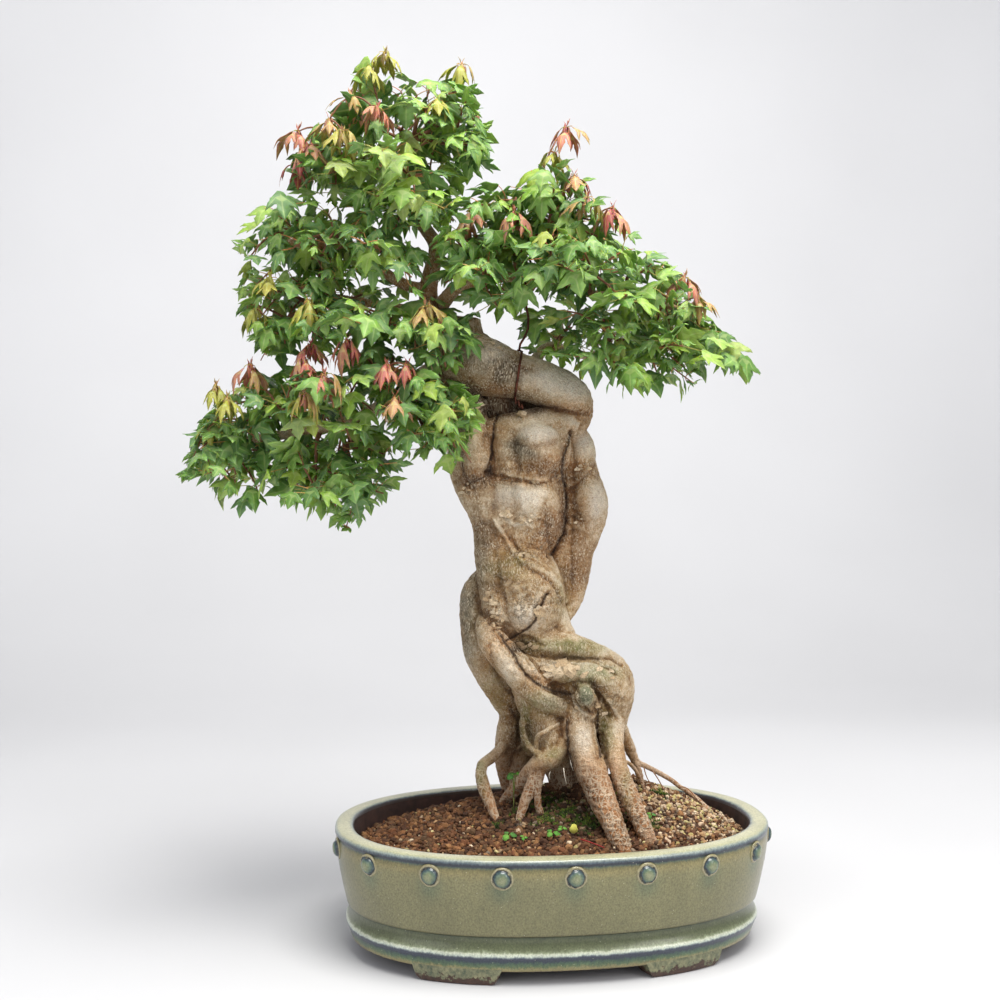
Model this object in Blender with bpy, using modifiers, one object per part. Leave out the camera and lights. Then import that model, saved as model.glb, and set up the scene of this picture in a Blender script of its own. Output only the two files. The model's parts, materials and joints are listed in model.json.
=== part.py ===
"""Trident maple bonsai in an oval glazed pot, in metres, +Z up.

The pot's long axis lies along X. The tree is laid out as it is seen from the front: a
station is (x, z, y, r) in millimetres, where x and z are read off the upright plane through
the pot's middle, y is the depth behind that plane, and r is the radius there.
"""
import math
import random

import bmesh
import bpy
from mathutils import Vector
from mathutils.bvhtree import BVHTree

MM = 0.001
GAP = 0.3

# The front viewpoint, and how far the pot is turned from it.
VIEW_X, VIEW_Z, VIEW_DISTANCE = -54.4, 494.5, 1400.0
POT_TURN = 0.1268

# Pot. Heights count from a line 4 mm above the soles of the feet.
POT_LENGTH, POT_WIDTH, POT_ROUNDNESS = 450.0, 305.2, 2.285
POT_SEGMENTS = 36
SOLE, FLOOR_UNDER, FLOOR_TOP, RIM = -4.0, 9.0, 20.0, 120.7
LIP_WIDTH, WALL_AT_FLOOR = 19.7, 26.0
# Outer profile from the base edge up to the lip, as (inset from the outline, height).
POT_PROFILE = (
    (16.5, 9.7), (12.5, 21.0), (12.0, 27.0), (15.8, 38.5), (16.0, 42.0), (12.0, 44.5),
    (8.0, 60.0), (3.6, 82.0), (0.6, 105.0), (0.0, 114.0), (1.6, 120.0), (4.0, RIM),
)
STUD_COUNT, STUD_RADIUS, STUD_RISE, STUD_HEIGHT = 18, 8.5, 6.0, 103.0
STUD_START, STUD_FRONT_SPACING, STUD_FRONT_COUNT = 635.5, 69.4, 9
FOOT_REACH, FOOT_DEPTH, FOOT_INSET, FOOT_ANGLE = 0.245, 24.0, 15.5, 1.04
FOOT_CENTRES = (FOOT_ANGLE, math.pi - FOOT_ANGLE, math.pi + FOOT_ANGLE, -FOOT_ANGLE)
DRAIN_RADIUS, DRAIN_X = 14.0, 95.0
SCREEN_SIDE, SCREEN_THICK, SCREEN_HOLES = 40.0, 1.0, 2

# Soil. The mound is highest under the trunk.
SOIL_EDGE, SOIL_RISE, MOUND_X, MOUND_Y, MOUND_POWER = 96.0, 58.0, 78.0, 38.0, 0.95
MOUND_LEFT, MOUND_RIGHT, MOUND_FRONT, MOUND_BACK = 300.0, 185.0, 178.0, 150.0
EDGE_FALL = 1.12
SOIL_RINGS = (0.10, 0.26, 0.44, 0.62, 0.78, 0.9, 1.0)
SOIL_SEGMENTS = 24
HOLE_CLEARANCE = 1.6

# Wood that is thick enough to be carved as one mass.
TRUNK = {
    "left flank": ((-101, 604, 10, 22), (-97, 575, 10, 22), (-92, 545, 8, 21), (-86, 517, 2, 23),
                   (-84, 492, -4, 26), (-78, 468, -2, 24), (-68, 446, 0, 22), (-62, 425, 2, 20.5),
                   (-60, 400, 2, 21.5), (-58, 380, 0, 22), (-56, 358, -2, 20)),
    "chest": ((-25, 524, 0, 20), (-18, 506, -9, 28), (-15, 490, -8, 28), (-18, 468, -4, 30),
              (-17, 448, -4, 31), (-19, 425, -2, 31), (-28, 405, 0, 29), (-29, 388, -2, 32),
              (-25, 368, -4, 35), (-21, 350, -6, 34), (-22, 335, -6, 32), (-26, 318, -4, 26)),
    "core": ((-55, 525, 8, 20), (-50, 500, 8, 28), (-45, 470, 8, 32), (-42, 440, 8, 34),
             (-42, 410, 8, 32), (-42, 380, 8, 34), (-42, 350, 6, 34), (-45, 325, 4, 30),
             (-40, 300, 2, 24)),
    "stump": ((-96, 598, 6, 30), (-95, 618, 6, 25), (-94, 640, 6, 20)),
    "limb": ((-104, 612, 8, 24), (-95, 600, 2, 33), (-75, 592, -4, 31), (-50, 584, -6, 26),
             (-25, 577, -6, 23.5), (-5, 571, -4, 23), (12, 564, 0, 21.5), (24, 553, 6, 18.5),
             (28, 540, 10, 14), (24, 526, 14, 11), (18, 512, 16, 9)),
    "back of the hollow": ((-92, 548, 24, 16), (-62, 541, 28, 16), (-25, 541, 28, 16),
                           (10, 540, 22, 15)),
    "right stem": ((20, 530, 20, 9), (27, 508, 22, 16), (29, 490, 22, 16.5), (32, 472, 20, 18.5),
                   (36, 452, 18, 22), (36, 436, 18, 21.5), (31, 416, 18, 19), (25, 398, 18, 18),
                   (24, 378, 18, 15), (23, 360, 16, 11.5), (20, 345, 12, 9.5), (14, 330, 6, 10)),
    "left stem": ((-72, 372, 14, 12), (-80, 355, 14, 15.5), (-80, 335, 14, 17.5),
                  (-77, 312, 14, 19), (-71, 290, 14, 19.5), (-62, 268, 14, 17.5),
                  (-50, 246, 18, 14.5), (-43, 228, 24, 12), (-46, 206, 32, 13),
                  (-49, 186, 42, 11.5), (-47, 166, 54, 9), (-44, 148, 66, 7.5), (-42, 130, 72, 6.5)),
    "arm root": ((-66, 352, -16, 11), (-67, 330, -24, 13.5), (-64, 308, -28, 14.5),
                 (-56, 290, -31, 14.5), (-45, 275, -32, 14.5), (-31, 262, -31, 14),
                 (-15, 252, -28, 14), (2, 244, -22, 13.5), (14, 236, -12, 12)),
    "seam": ((12, 520, 16, 12), (10, 495, 14, 13), (12, 465, 14, 14), (14, 440, 14, 14),
             (12, 415, 14, 14), (6, 390, 10, 16), (9, 366, 12, 13), (11, 344, 10, 11)),
    "back of the hip": ((-52, 318, 14, 20), (-36, 292, 16, 18), (-14, 270, 14, 18)),
    "back left leg": ((-18, 256, 18, 18), (-24, 218, 32, 14), (-27, 184, 46, 11),
                      (-25, 154, 58, 9), (-23, 130, 64, 8)),
    "back right leg": ((38, 240, 20, 18), (45, 204, 36, 13), (48, 178, 46, 10.5),
                       (50, 156, 52, 9), (51, 136, 55, 8)),
    "belly side": ((-4, 356, -4, 14), (2, 336, -4, 12.5), (7, 318, -4, 12.5), (14, 304, -6, 12)),
    "upper hip": ((-20, 318, -6, 22), (-5, 305, -10, 18), (12, 298, -12, 16), (30, 294, -12, 15),
                  (48, 287, -8, 15.5), (62, 275, -2, 16.5), (68, 262, 4, 16.5), (69, 246, 6, 15.5),
                  (68, 230, 6, 12.5), (67, 218, 6, 10)),
    "lower hip": ((-28, 288, -10, 12), (-8, 278, -18, 14), (14, 272, -22, 15), (34, 268, -22, 15),
                  (50, 262, -14, 15), (58, 250, -6, 16)),
    "pelvis": ((-10, 290, 10, 26), (15, 275, 8, 28), (38, 262, 6, 28), (45, 245, 4, 27),
               (42, 228, 2, 25), (38, 212, 0, 20)),
    "middle mass": ((-20, 262, 0, 24), (-14, 240, -6, 23), (-8, 222, -10, 20),
                    (-3, 206, -12, 17), (-4, 190, -15, 13)),
    "front leg": ((34, 245, -12, 20), (28, 218, -20, 18), (32, 196, -28, 17), (40, 172, -40, 16),
                  (50, 146, -54, 14), (60, 122, -66, 12), (69, 100, -75, 10.5), (78, 76, -82, 9)),
    "second leg": ((58, 240, 0, 16), (61, 218, -6, 14), (64, 197, -16, 11), (69, 174, -30, 10),
                   (77, 152, -42, 10), (85, 132, -53, 9.5), (94, 112, -61, 9), (104, 86, -68, 8)),
}
# Roots and branches that stay round.
ROOTS = {
    "arch": ((24, 212, -12, 12), (8, 190, -20, 11), (-4, 182, -24, 11), (-14, 176, -22, 10),
             (-26, 164, -8, 8), (-38, 150, 8, 6), (-50, 136, 20, 4.6), (-60, 118, 26, 4)),
    "dark root": ((20, 214, 0, 12), (28, 180, -10, 9), (38, 155, -24, 8), (50, 130, -38, 7.5),
                  (62, 104, -50, 7)),
    "middle finger": ((-10, 182, -22, 8), (-20, 156, -24, 6.5), (-27, 140, -24, 5.2),
                      (-33, 122, -24, 4.6), (-37, 100, -26, 4.2)),
    "near finger": ((-8, 182, -26, 5), (-14, 154, -28, 4), (-15, 136, -25, 3.8),
                    (-12, 122, -22, 3.6), (-11, 100, -20, 3.4)),
    "right rear root": ((58, 236, 6, 9), (72, 212, 16, 7), (79, 197, 22, 6), (85, 182, 28, 5),
                        (90, 168, 32, 4.6), (94, 152, 36, 4.2), (96, 134, 38, 3.8)),
    "pale root": ((-44, 204, 28, 6), (-62, 184, 16, 5), (-73, 176, 4, 5.5), (-75, 168, 0, 5.5),
                  (-72, 154, -6, 5.8), (-69, 144, -10, 6), (-63, 130, -16, 5), (-57, 114, -22, 4.4),
                  (-54, 98, -26, 4)),
    "green root": ((-26, 238, -12, 5), (-31, 214, -20, 4.5), (-27, 200, -24, 4.5),
                   (-17, 189, -28, 4.2), (-3, 180, -24, 4)),
    "twig root": ((-16, 186, -24, 2.4), (-16, 203, -32, 2.4), (-6, 211, -32, 2.6),
                  (6, 218, -20, 2.8)),
    "long root": ((74, 206, 20, 3.4), (88, 180, 32, 3), (102, 172, 40, 2.8), (120, 162, 46, 2.6),
                  (136, 151, 50, 2.4), (150, 141, 48, 2.2), (164, 128, 38, 2.1), (172, 117, 26, 2.1),
                  (177, 100, 20, 2.1)),
    "thin root": ((50, 184, -16, 2.4), (66, 183, -12, 2.2), (77, 179, 0, 2), (86, 171, 10, 2),
                  (92, 160, 18, 2), (97, 146, 24, 2), (99, 130, 26, 2)),
}
KNOBS = {
    "green knob": ((30, 258, -20, 6), (35, 251, -32, 7.5), (40, 243, -33, 7.5), (45, 236, -24, 6)),
    "mossy knob": ((-95, 556, 4, 14), (-82, 552, -4, 9.5), (-70, 549, 4, 5)),
}
BRANCHES = {
    "leader": ((-104, 618, 8, 15), (-116, 638, 8, 12), (-127, 654, 6, 10.5), (-128, 674, 4, 9.5),
               (-122, 700, 2, 8), (-121, 715, 0, 7.5), (-130, 730, 0, 7), (-143, 748, 0, 6.5),
               (-152, 775, 0, 5.5), (-152, 800, 0, 4.5), (-144, 824, 0, 3.6)),
    "left branch": ((-124, 668, 5, 7), (-146, 672, -4, 6.2), (-158, 677, -6, 6), (-172, 686, -6, 5.6),
                    (-188, 700, -4, 5.2), (-204, 713, 0, 4.8), (-226, 716, 0, 4.4),
                    (-252, 714, 0, 4), (-276, 720, 0, 3.4)),
    "inner left branch": ((-118, 644, 8, 7), (-145, 648, 10, 5.6), (-172, 652, 12, 5),
                          (-200, 657, 12, 4.4), (-224, 660, 12, 3.8), (-250, 652, 12, 3.4)),
    "right branch": ((-122, 648, 2, 9.5), (-112, 657, -6, 8), (-103, 668, -10, 7.4),
                     (-84, 678, -8, 6.8), (-56, 682, -2, 6.2), (-26, 683, 0, 5.8), (2, 680, 0, 5.4),
                     (20, 671, -2, 5), (44, 664, -4, 4.6), (70, 662, -2, 4.2), (98, 657, 0, 3.8),
                     (128, 650, 0, 3.2)),
    "low right branch": ((-16, 580, 6, 8), (-16, 598, 24, 6.4), (-4, 611, 28, 5.4), (14, 607, 22, 5),
                         (36, 601, 14, 4.6), (62, 602, 6, 4.2), (92, 607, 2, 3.8),
                         (122, 610, 0, 3.2)),
    "low left branch": ((-96, 604, 0, 12), (-122, 590, -16, 8.5), (-150, 568, -22, 7.2),
                        (-182, 546, -20, 6.4), (-216, 532, -14, 5.8), (-254, 524, -6, 5.2),
                        (-290, 518, 0, 4.6), (-322, 514, 0, 3.6)),
    "low left fork": ((-180, 548, -18, 5.6), (-196, 536, 8, 4.8), (-214, 530, 34, 4.2),
                      (-234, 530, 54, 3.4)),
    "crown fork": ((-140, 744, 0, 5.6), (-158, 758, 16, 4.8), (-172, 774, 34, 4.2),
                   (-180, 786, 50, 3.4)),
    "right fork": ((-30, 683, 0, 5.2), (-6, 690, 20, 4.6), (14, 694, 40, 4), (34, 694, 54, 3.4)),
}
VOXEL, SMOOTH_STEPS, TRUNK_FACES = 3.0, 4, 1200
BRANCH_STEP, ROOT_STEP = 34.0, 24.0

# Guy wire that ties the right branch down to the limb.
WIRE_RADIUS, WIRE_LIFT, WIRE_PITCH = 1.5, 1.5, 5.0
WIRE_RING_COUNT, WIRE_RING_TURN = 20, 0.95
WIRE_UP = ((-35, 622, -9), (-29, 642, -8), (-26, 662, -5))

# Sprays of leaves: carrying branch, and the spray's middle (x, z, y).
SPRAYS = {
    "crown": (("leader", (-220, 796, -15)), ("leader", (-184, 836, -8)), ("leader", (-134, 858, 0)),
              ("leader", (-96, 816, -12)), ("leader", (-150, 790, -56)),
              ("crown fork", (-164, 806, 66))),
    "left": (("left branch", (-290, 738, 0)), ("left branch", (-226, 748, -34)),
             ("left branch", (-228, 736, 46)), ("inner left branch", (-286, 668, -4)),
             ("inner left branch", (-216, 646, -30)), ("inner left branch", (-236, 664, 54))),
    "low_left": (("low left branch", (-340, 530, -8)), ("low left branch", (-286, 552, -44)),
                 ("low left branch", (-226, 562, -56)), ("low left branch", (-156, 562, -60)),
                 ("low left branch", (-280, 494, 20)), ("low left branch", (-216, 490, -26)),
                 ("low left fork", (-240, 546, 78))),
    "inner": (("leader", (-150, 628, -42)),),
    "right": (("right branch", (-82, 716, -30)), ("right branch", (-30, 742, -10)),
              ("right branch", (30, 738, -14)), ("right branch", (84, 704, -14)),
              ("right branch", (0, 694, -60)), ("right branch", (152, 636, -4)),
              ("low right branch", (52, 640, -42)), ("low right branch", (110, 612, -24)),
              ("right fork", (22, 706, 74)), ("low right branch", (92, 638, 50))),
}
# Long shoots with young leaves: the spray that carries each, and the shoot's tip (x, z, y).
SHOOTS = (
    ("crown_2", (-170, 896, -10)), ("crown_4", (-92, 882, -6)), ("right_3", (14, 816, -20)),
    ("right_4", (132, 690, -26)), ("low_left_1", (-318, 588, -30)), ("low_left_3", (-256, 600, -70)),
)
SEED = 11
TWIG_RADIUS, TWIG_STEPS = 1.9, 3
LEAVES_PER_SPRAY, PAIR_SPACING, STALK_SUNK = 7, 14.0, 0.6
LEAVES_PER_SHOOT, SHOOT_RADIUS = 3, 1.2
DROOP, YOUNG_DROOP = (0.1, 1.3), (1.6, 3.0)
TRIES = 60
ROOT_SUNK = 3.0

# Leaf blade, as fractions of its length: across, along, and drop below the stalk's end.
LEAF_LENGTH, LEAF_THICK, STALK_LENGTH, STALK_WIDTH = 41.0, 0.8, 20.0, 1.5
YOUNG_LENGTH, YOUNG_SPREAD = 34.0, 0.6
LEAF_OUTLINE = ((0.50, 0.66, 0.16), (0.20, 0.56, 0.05), (0.0, 1.08, 0.30))


def seen(x, z, y=0.0):
    """The point at depth y that lines up with (x, z) of the middle plane."""
    near = (VIEW_DISTANCE + y) / VIEW_DISTANCE
    across = VIEW_X + (x - VIEW_X) * near
    height = VIEW_Z + (z - VIEW_Z) * near
    turn, tilt = math.cos(POT_TURN), math.sin(POT_TURN)
    return Vector((across * turn + y * tilt, y * turn - across * tilt, height)) * MM


def empty_file():
    for item in list(bpy.data.objects):
        bpy.data.objects.remove(item, do_unlink=True)


def new_collection(name):
    collection = bpy.data.collections.new(name)
    bpy.context.scene.collection.children.link(collection)
    return collection


def material(name, colour, roughness, metallic=0.0):
    made = bpy.data.materials.new(name)
    made.use_nodes = True
    shader = made.node_tree.nodes["Principled BSDF"]
    shader.inputs["Base Color"].default_value = (*colour, 1.0)
    shader.inputs["Roughness"].default_value = roughness
    shader.inputs["Metallic"].default_value = metallic
    return made


def add_mesh(name, points, faces, collection, finish=None):
    mesh = bpy.data.meshes.new(name)
    mesh.from_pydata([tuple(point) for point in points], [], faces)
    mesh.update()
    item = bpy.data.objects.new(name, mesh)
    if finish:
        mesh.materials.append(finish)
    collection.objects.link(item)
    return item


def face_outwards(item):
    work = bmesh.new()
    work.from_mesh(item.data)
    bmesh.ops.recalc_face_normals(work, faces=work.faces)
    work.to_mesh(item.data)
    work.free()


def baked(item, name, collection, weld=0.0):
    """A mesh object of item as its modifiers leave it; item is removed."""
    evaluated = item.evaluated_get(bpy.context.evaluated_depsgraph_get())
    mesh = bpy.data.meshes.new_from_object(evaluated)
    if weld:
        work = bmesh.new()
        work.from_mesh(mesh)
        bmesh.ops.remove_doubles(work, verts=work.verts, dist=weld)
        bmesh.ops.recalc_face_normals(work, faces=work.faces)
        work.to_mesh(mesh)
        work.free()
    place = item.matrix_world.copy()
    bpy.data.objects.remove(item, do_unlink=True)
    made = bpy.data.objects.new(name, mesh)
    made.matrix_world = place
    collection.objects.link(made)
    return made


def smooth_route(stations, step):
    """Stations joined by one smooth curve, as (point, radius in mm), about step mm apart."""
    marks = [(seen(x, z, y), r) for x, z, y, r in stations]
    ends = [marks[0]] + marks + [marks[-1]]
    route = []
    for a, b, c, d in zip(ends, ends[1:], ends[2:], ends[3:]):
        pieces = max(1, round((c[0] - b[0]).length / (step * MM)))
        for i in range(pieces):
            t = i / pieces
            weights = ((-t + 2 * t * t - t ** 3) / 2, (2 - 5 * t * t + 3 * t ** 3) / 2,
                       (t + 4 * t * t - 3 * t ** 3) / 2, (t ** 3 - t * t) / 2)
            point = sum((w * m[0] for w, m in zip(weights, (a, b, c, d))), Vector())
            radius = sum(w * m[1] for w, m in zip(weights, (a, b, c, d)))
            route.append((point, radius))
    route.append(marks[-1])
    return route


def tube(name, routes, collection, sides=8):
    """One mesh object holding a capped tube for each route."""
    curve = bpy.data.curves.new(name, "CURVE")
    curve.dimensions = "3D"
    curve.bevel_depth = MM
    curve.bevel_resolution = sides // 2 - 2
    curve.use_fill_caps = True
    for route in routes:
        spline = curve.splines.new("POLY")
        spline.points.add(len(route) - 1)
        for mark, (point, radius) in zip(spline.points, route):
            mark.co = (*point, 1.0)
            mark.radius = radius
    item = bpy.data.objects.new(name, curve)
    collection.objects.link(item)
    return baked(item, name, collection, weld=0.01 * MM)


def combine(base, tools, operation, name, collection, solver="EXACT"):
    """One Boolean of base with a list of closed meshes, applied; the tools are removed."""
    group = bpy.data.collections.new(name + "_tools")
    for tool in tools:
        for owner in list(tool.users_collection):
            owner.objects.unlink(tool)
        group.objects.link(tool)
    bpy.context.scene.collection.children.link(group)
    cut = base.modifiers.new(operation.lower(), "BOOLEAN")
    cut.operation = operation
    cut.operand_type = "COLLECTION"
    cut.collection = group
    cut.solver = solver
    made = baked(base, name, collection)
    for tool in list(group.objects):
        bpy.data.objects.remove(tool, do_unlink=True)
    bpy.data.collections.remove(group)
    return made


def tree_of(item):
    work = bmesh.new()
    work.from_mesh(item.data)
    work.transform(item.matrix_world)
    made = BVHTree.FromBMesh(work)
    work.free()
    return made


def oval(inset, height, angle):
    """A point of the pot's rounded oval, inset mm inside its outline."""
    c, s = math.cos(angle), math.sin(angle)
    power = 2 / POT_ROUNDNESS
    x = (POT_LENGTH / 2 - inset) * math.copysign(abs(c) ** power, c)
    y = (POT_WIDTH / 2 - inset) * math.copysign(abs(s) ** power, s)
    return Vector((x, y, height)) * MM


def loft(name, rings, collection, finish=None):
    """A closed skin through rings of equal length, with a fan at each end."""
    count = len(rings[0])
    points = [point for ring in rings for point in ring]
    faces = []
    for k in range(len(rings) - 1):
        for i in range(count):
            j = (i + 1) % count
            a, b = k * count, (k + 1) * count
            faces.append((a + i, a + j, b + j, b + i))
    faces.append(tuple(reversed(range(count))))
    faces.append(tuple(range((len(rings) - 1) * count, len(rings) * count)))
    item = add_mesh(name, points, faces, collection, finish)
    face_outwards(item)
    return item


def turn_angles(count):
    return [2 * math.pi * i / count for i in range(count)]


def pot_body(collection):
    profile = [(POT_PROFILE[0][0] + 8, FLOOR_UNDER), *POT_PROFILE,
               (LIP_WIDTH - 2, RIM), (LIP_WIDTH, RIM - 1.5), (WALL_AT_FLOOR - 3, FLOOR_TOP + 14),
               (WALL_AT_FLOOR + 6, FLOOR_TOP)]
    rings = [[oval(s, h, a) for a in turn_angles(POT_SEGMENTS)] for s, h in profile]
    return loft("pot", rings, collection)


def outline_angles(distances, inset):
    """Angles at which the oval's outline has run these distances, in mm."""
    count = 2000
    marks = [2 * math.pi * i / count for i in range(count + 1)]
    points = [oval(inset, 0, a) for a in marks]
    run, found, wanted = 0.0, [], sorted(distances)
    for i in range(count):
        run += (points[i + 1] - points[i]).length / MM
        while wanted and run >= wanted[0]:
            found.append(marks[i + 1])
            wanted.pop(0)
    return found


def stud(angle, collection):
    here = oval(0.8, STUD_HEIGHT, angle)
    ahead = oval(0.8, STUD_HEIGHT, angle + 0.01) - here
    outward = Vector((ahead.y, -ahead.x, 0)).normalized()
    bpy.ops.mesh.primitive_uv_sphere_add(segments=8, ring_count=4, radius=STUD_RADIUS * MM)
    item = bpy.context.object
    item.scale = (1, 1, STUD_RISE / STUD_RADIUS)
    item.rotation_euler = outward.to_track_quat("Z", "Y").to_euler()
    item.location = here - outward * MM
    bpy.context.view_layer.update()
    for owner in list(item.users_collection):
        owner.objects.unlink(item)
    collection.objects.link(item)
    return item


def foot(centre, collection):
    """A low foot that follows the oval, with its ends slanted inwards."""
    steps, rings = 5, []
    for i in range(steps + 1):
        swing = 2 * i / steps - 1
        rings_here = []
        for inset, height, reach in ((FOOT_INSET, FLOOR_UNDER + 4, 1.0),
                                     (FOOT_INSET + 1.5, SOLE, 0.84),
                                     (FOOT_INSET + FOOT_DEPTH, SOLE, 0.84),
                                     (FOOT_INSET + FOOT_DEPTH, FLOOR_UNDER + 4, 1.0)):
            rings_here.append(oval(inset, height, centre + swing * FOOT_REACH * reach))
        rings.append(rings_here)
    return loft("foot", rings, collection)


def cylinder(radius, low, high, x, y, collection, sides=12):
    bpy.ops.mesh.primitive_cylinder_add(vertices=sides, radius=radius * MM,
                                        depth=(high - low) * MM,
                                        location=(x * MM, y * MM, (low + high) / 2 * MM))
    item = bpy.context.object
    for owner in list(item.users_collection):
        owner.objects.unlink(item)
    collection.objects.link(item)
    return item


def box(name, size, centre, collection):
    bpy.ops.mesh.primitive_cube_add(size=1, location=[c * MM for c in centre])
    item = bpy.context.object
    item.name = name
    item.scale = [s * MM for s in size]
    bpy.context.view_layer.update()
    for owner in list(item.users_collection):
        owner.objects.unlink(item)
    collection.objects.link(item)
    return item


def build_pot(parts, cutters, finish):
    body = pot_body(parts)
    perimeter = outline_length(0.8)
    rest = (perimeter - (STUD_FRONT_COUNT - 1) * STUD_FRONT_SPACING)
    rest /= STUD_COUNT - STUD_FRONT_COUNT + 1
    places = [STUD_START + i * STUD_FRONT_SPACING for i in range(STUD_FRONT_COUNT)]
    places += [places[-1] + rest * (i + 1) for i in range(STUD_COUNT - STUD_FRONT_COUNT)]
    places = [place % perimeter for place in places]
    joined = [stud(angle, cutters) for angle in outline_angles(places, 0.8)]
    joined += [foot(centre, cutters) for centre in FOOT_CENTRES]
    body = combine(body, joined, "UNION", "pot_joined", parts)
    drains = [cylinder(DRAIN_RADIUS, -10, 40, x, 0, cutters) for x in (-DRAIN_X, DRAIN_X)]
    pot = combine(body, drains, "DIFFERENCE", "pot", parts)
    pot.data.materials.clear()
    pot.data.materials.append(finish)
    return pot


def outline_length(inset):
    points = [oval(inset, 0, a) for a in turn_angles(720)]
    return sum((b - a).length for a, b in zip(points, points[1:] + points[:1])) / MM


def build_screens(parts, cutters, finish):
    """Plastic screens over the drainage holes, lying on the pot's floor."""
    made = []
    for side, x in (("left", -DRAIN_X), ("right", DRAIN_X)):
        low = FLOOR_TOP + GAP
        plate = box("screen", (SCREEN_SIDE, SCREEN_SIDE, SCREEN_THICK),
                    (x, 0, low + SCREEN_THICK / 2), parts)
        pitch = SCREEN_SIDE / (SCREEN_HOLES + 0.6)
        holes = []
        for i in range(SCREEN_HOLES):
            for j in range(SCREEN_HOLES):
                at = [(k - (SCREEN_HOLES - 1) / 2) * pitch for k in (i, j)]
                holes.append(box("hole", (pitch * 0.7, pitch * 0.7, 6), (x + at[0], at[1], low),
                                 cutters))
        plate = combine(plate, holes, "DIFFERENCE", "drain_screen_" + side, parts)
        plate.data.materials.append(finish)
        made.append(plate)
    return made


def soil_height(x, y):
    """Height of the soil in mm at a point of the pot given in mm."""
    right = (x - MOUND_X) / (MOUND_RIGHT if x > MOUND_X else MOUND_LEFT)
    behind = (y - MOUND_Y) / (MOUND_BACK if y > MOUND_Y else MOUND_FRONT)
    mound = max(0.0, 1 - math.hypot(right, behind)) ** MOUND_POWER
    across, deep = abs(x) / (POT_LENGTH / 2), abs(y) / (POT_WIDTH / 2)
    outward = across ** POT_ROUNDNESS + deep ** POT_ROUNDNESS
    return SOIL_EDGE + SOIL_RISE * mound * max(0.0, 1 - (EDGE_FALL * outward) ** 3)


def build_soil(parts, cutters, finish):
    angles = turn_angles(SOIL_SEGMENTS)
    rings = [[oval(WALL_AT_FLOOR + 9, FLOOR_TOP + GAP, a) for a in angles],
             [oval(WALL_AT_FLOOR - 1.5, FLOOR_TOP + 14, a) for a in angles],
             [oval(LIP_WIDTH + 1.7, SOIL_EDGE, a) for a in angles]]
    edge = rings[-1]
    for share in SOIL_RINGS[-2::-1]:
        ring = []
        for point in edge:
            x = MOUND_X + (point.x / MM - MOUND_X) * share
            y = MOUND_Y + (point.y / MM - MOUND_Y) * share
            ring.append(Vector((x, y, soil_height(x, y))) * MM)
        rings.append(ring)
    soil = loft("soil", rings, parts)
    holes = []
    for stations in root_ends():
        route = smooth_route(stations, 30)
        grown = [(point, (radius + HOLE_CLEARANCE) / math.cos(math.pi / 8)) for point, radius in route]
        tip, before = grown[-1][0], grown[-2][0]
        deeper = tip + (tip - before).normalized() * GAP * MM
        holes.append(tube("root_hole", [grown[:-1] + [(deeper, grown[-1][1])]], cutters))
    side = SCREEN_SIDE + 2 * GAP
    for x in (-DRAIN_X, DRAIN_X):
        high = SCREEN_THICK + 2 * GAP
        holes.append(box("pocket", (side, side, 2 * high), (x, 0, FLOOR_TOP), cutters))
    soil = combine(soil, holes, "DIFFERENCE", "soil", parts)
    soil.data.materials.append(finish)
    return soil


def root_ends():
    """The stretch of each root that goes into the soil."""
    names = ("front leg", "second leg", "left stem", "back left leg", "back right leg")
    into = [TRUNK[name][-3:] for name in names]
    others = [name for name in ROOTS if name not in ("green root", "twig root")]
    return into + [ROOTS[name][-4:] for name in others]


def build_wood(parts, cutters, finish):
    """Trunk, roots and branches as one grown piece."""
    routes = [smooth_route(stations, 8) for stations in (*TRUNK.values(), *KNOBS.values())]
    mass = tube("trunk_mass", routes, cutters, sides=12)
    voxels = mass.modifiers.new("fuse", "REMESH")
    voxels.mode = "VOXEL"
    voxels.voxel_size = VOXEL * MM
    soften = mass.modifiers.new("soften", "SMOOTH")
    soften.factor = 0.5
    soften.iterations = SMOOTH_STEPS
    mass = baked(mass, "trunk_fused", cutters)
    thin = mass.modifiers.new("thin out", "DECIMATE")
    thin.ratio = TRUNK_FACES / sum(len(face.vertices) - 2 for face in mass.data.polygons)
    mass = baked(mass, "trunk", cutters)
    limbs = [tube("root", [smooth_route(stations, ROOT_STEP)], cutters, sides=6)
             for stations in ROOTS.values()]
    limbs += [tube("branch", [smooth_route(stations, BRANCH_STEP)], cutters, sides=6)
              for stations in BRANCHES.values()]
    wood = combine(mass, limbs, "UNION", "wood", parts)
    wood.data.materials.clear()
    wood.data.materials.append(finish)
    return wood


def build_wire(wood_tree, parts, finish):
    """A ring of wire round the limb, up to the branch that it holds down."""
    middle = seen(-37, 581, -6)
    across = (seen(-25, 577, -6) - seen(-50, 584, -6)).normalized()
    up = Vector((0, 0, 1))
    up = (up - across * up.dot(across)).normalized()
    back = up.cross(across)
    lift = (WIRE_RADIUS + WIRE_LIFT) * MM
    route = []
    for i in range(WIRE_RING_COUNT):
        share = i / (WIRE_RING_COUNT - 1)
        angle = 2 * math.pi * WIRE_RING_TURN * share
        ray = up * math.cos(angle) + back * math.sin(angle)
        start = middle + across * (share - 0.5) * WIRE_PITCH * MM
        hit, _, _, _ = wood_tree.ray_cast(start, ray)
        route.append(hit + ray * lift)
    branch = seen(-25, 683, 0)
    hit, _, _, _ = wood_tree.ray_cast(branch, Vector((0, 0, -1)))
    top = hit - Vector((0, 0, WIRE_RADIUS + WIRE_LIFT)) * MM
    route += [seen(*point) for point in WIRE_UP] + [top]
    wire = tube("guy_wire", [[(point, WIRE_RADIUS) for point in route]], parts, sides=6)
    wire.data.materials.append(finish)
    return wire


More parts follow.
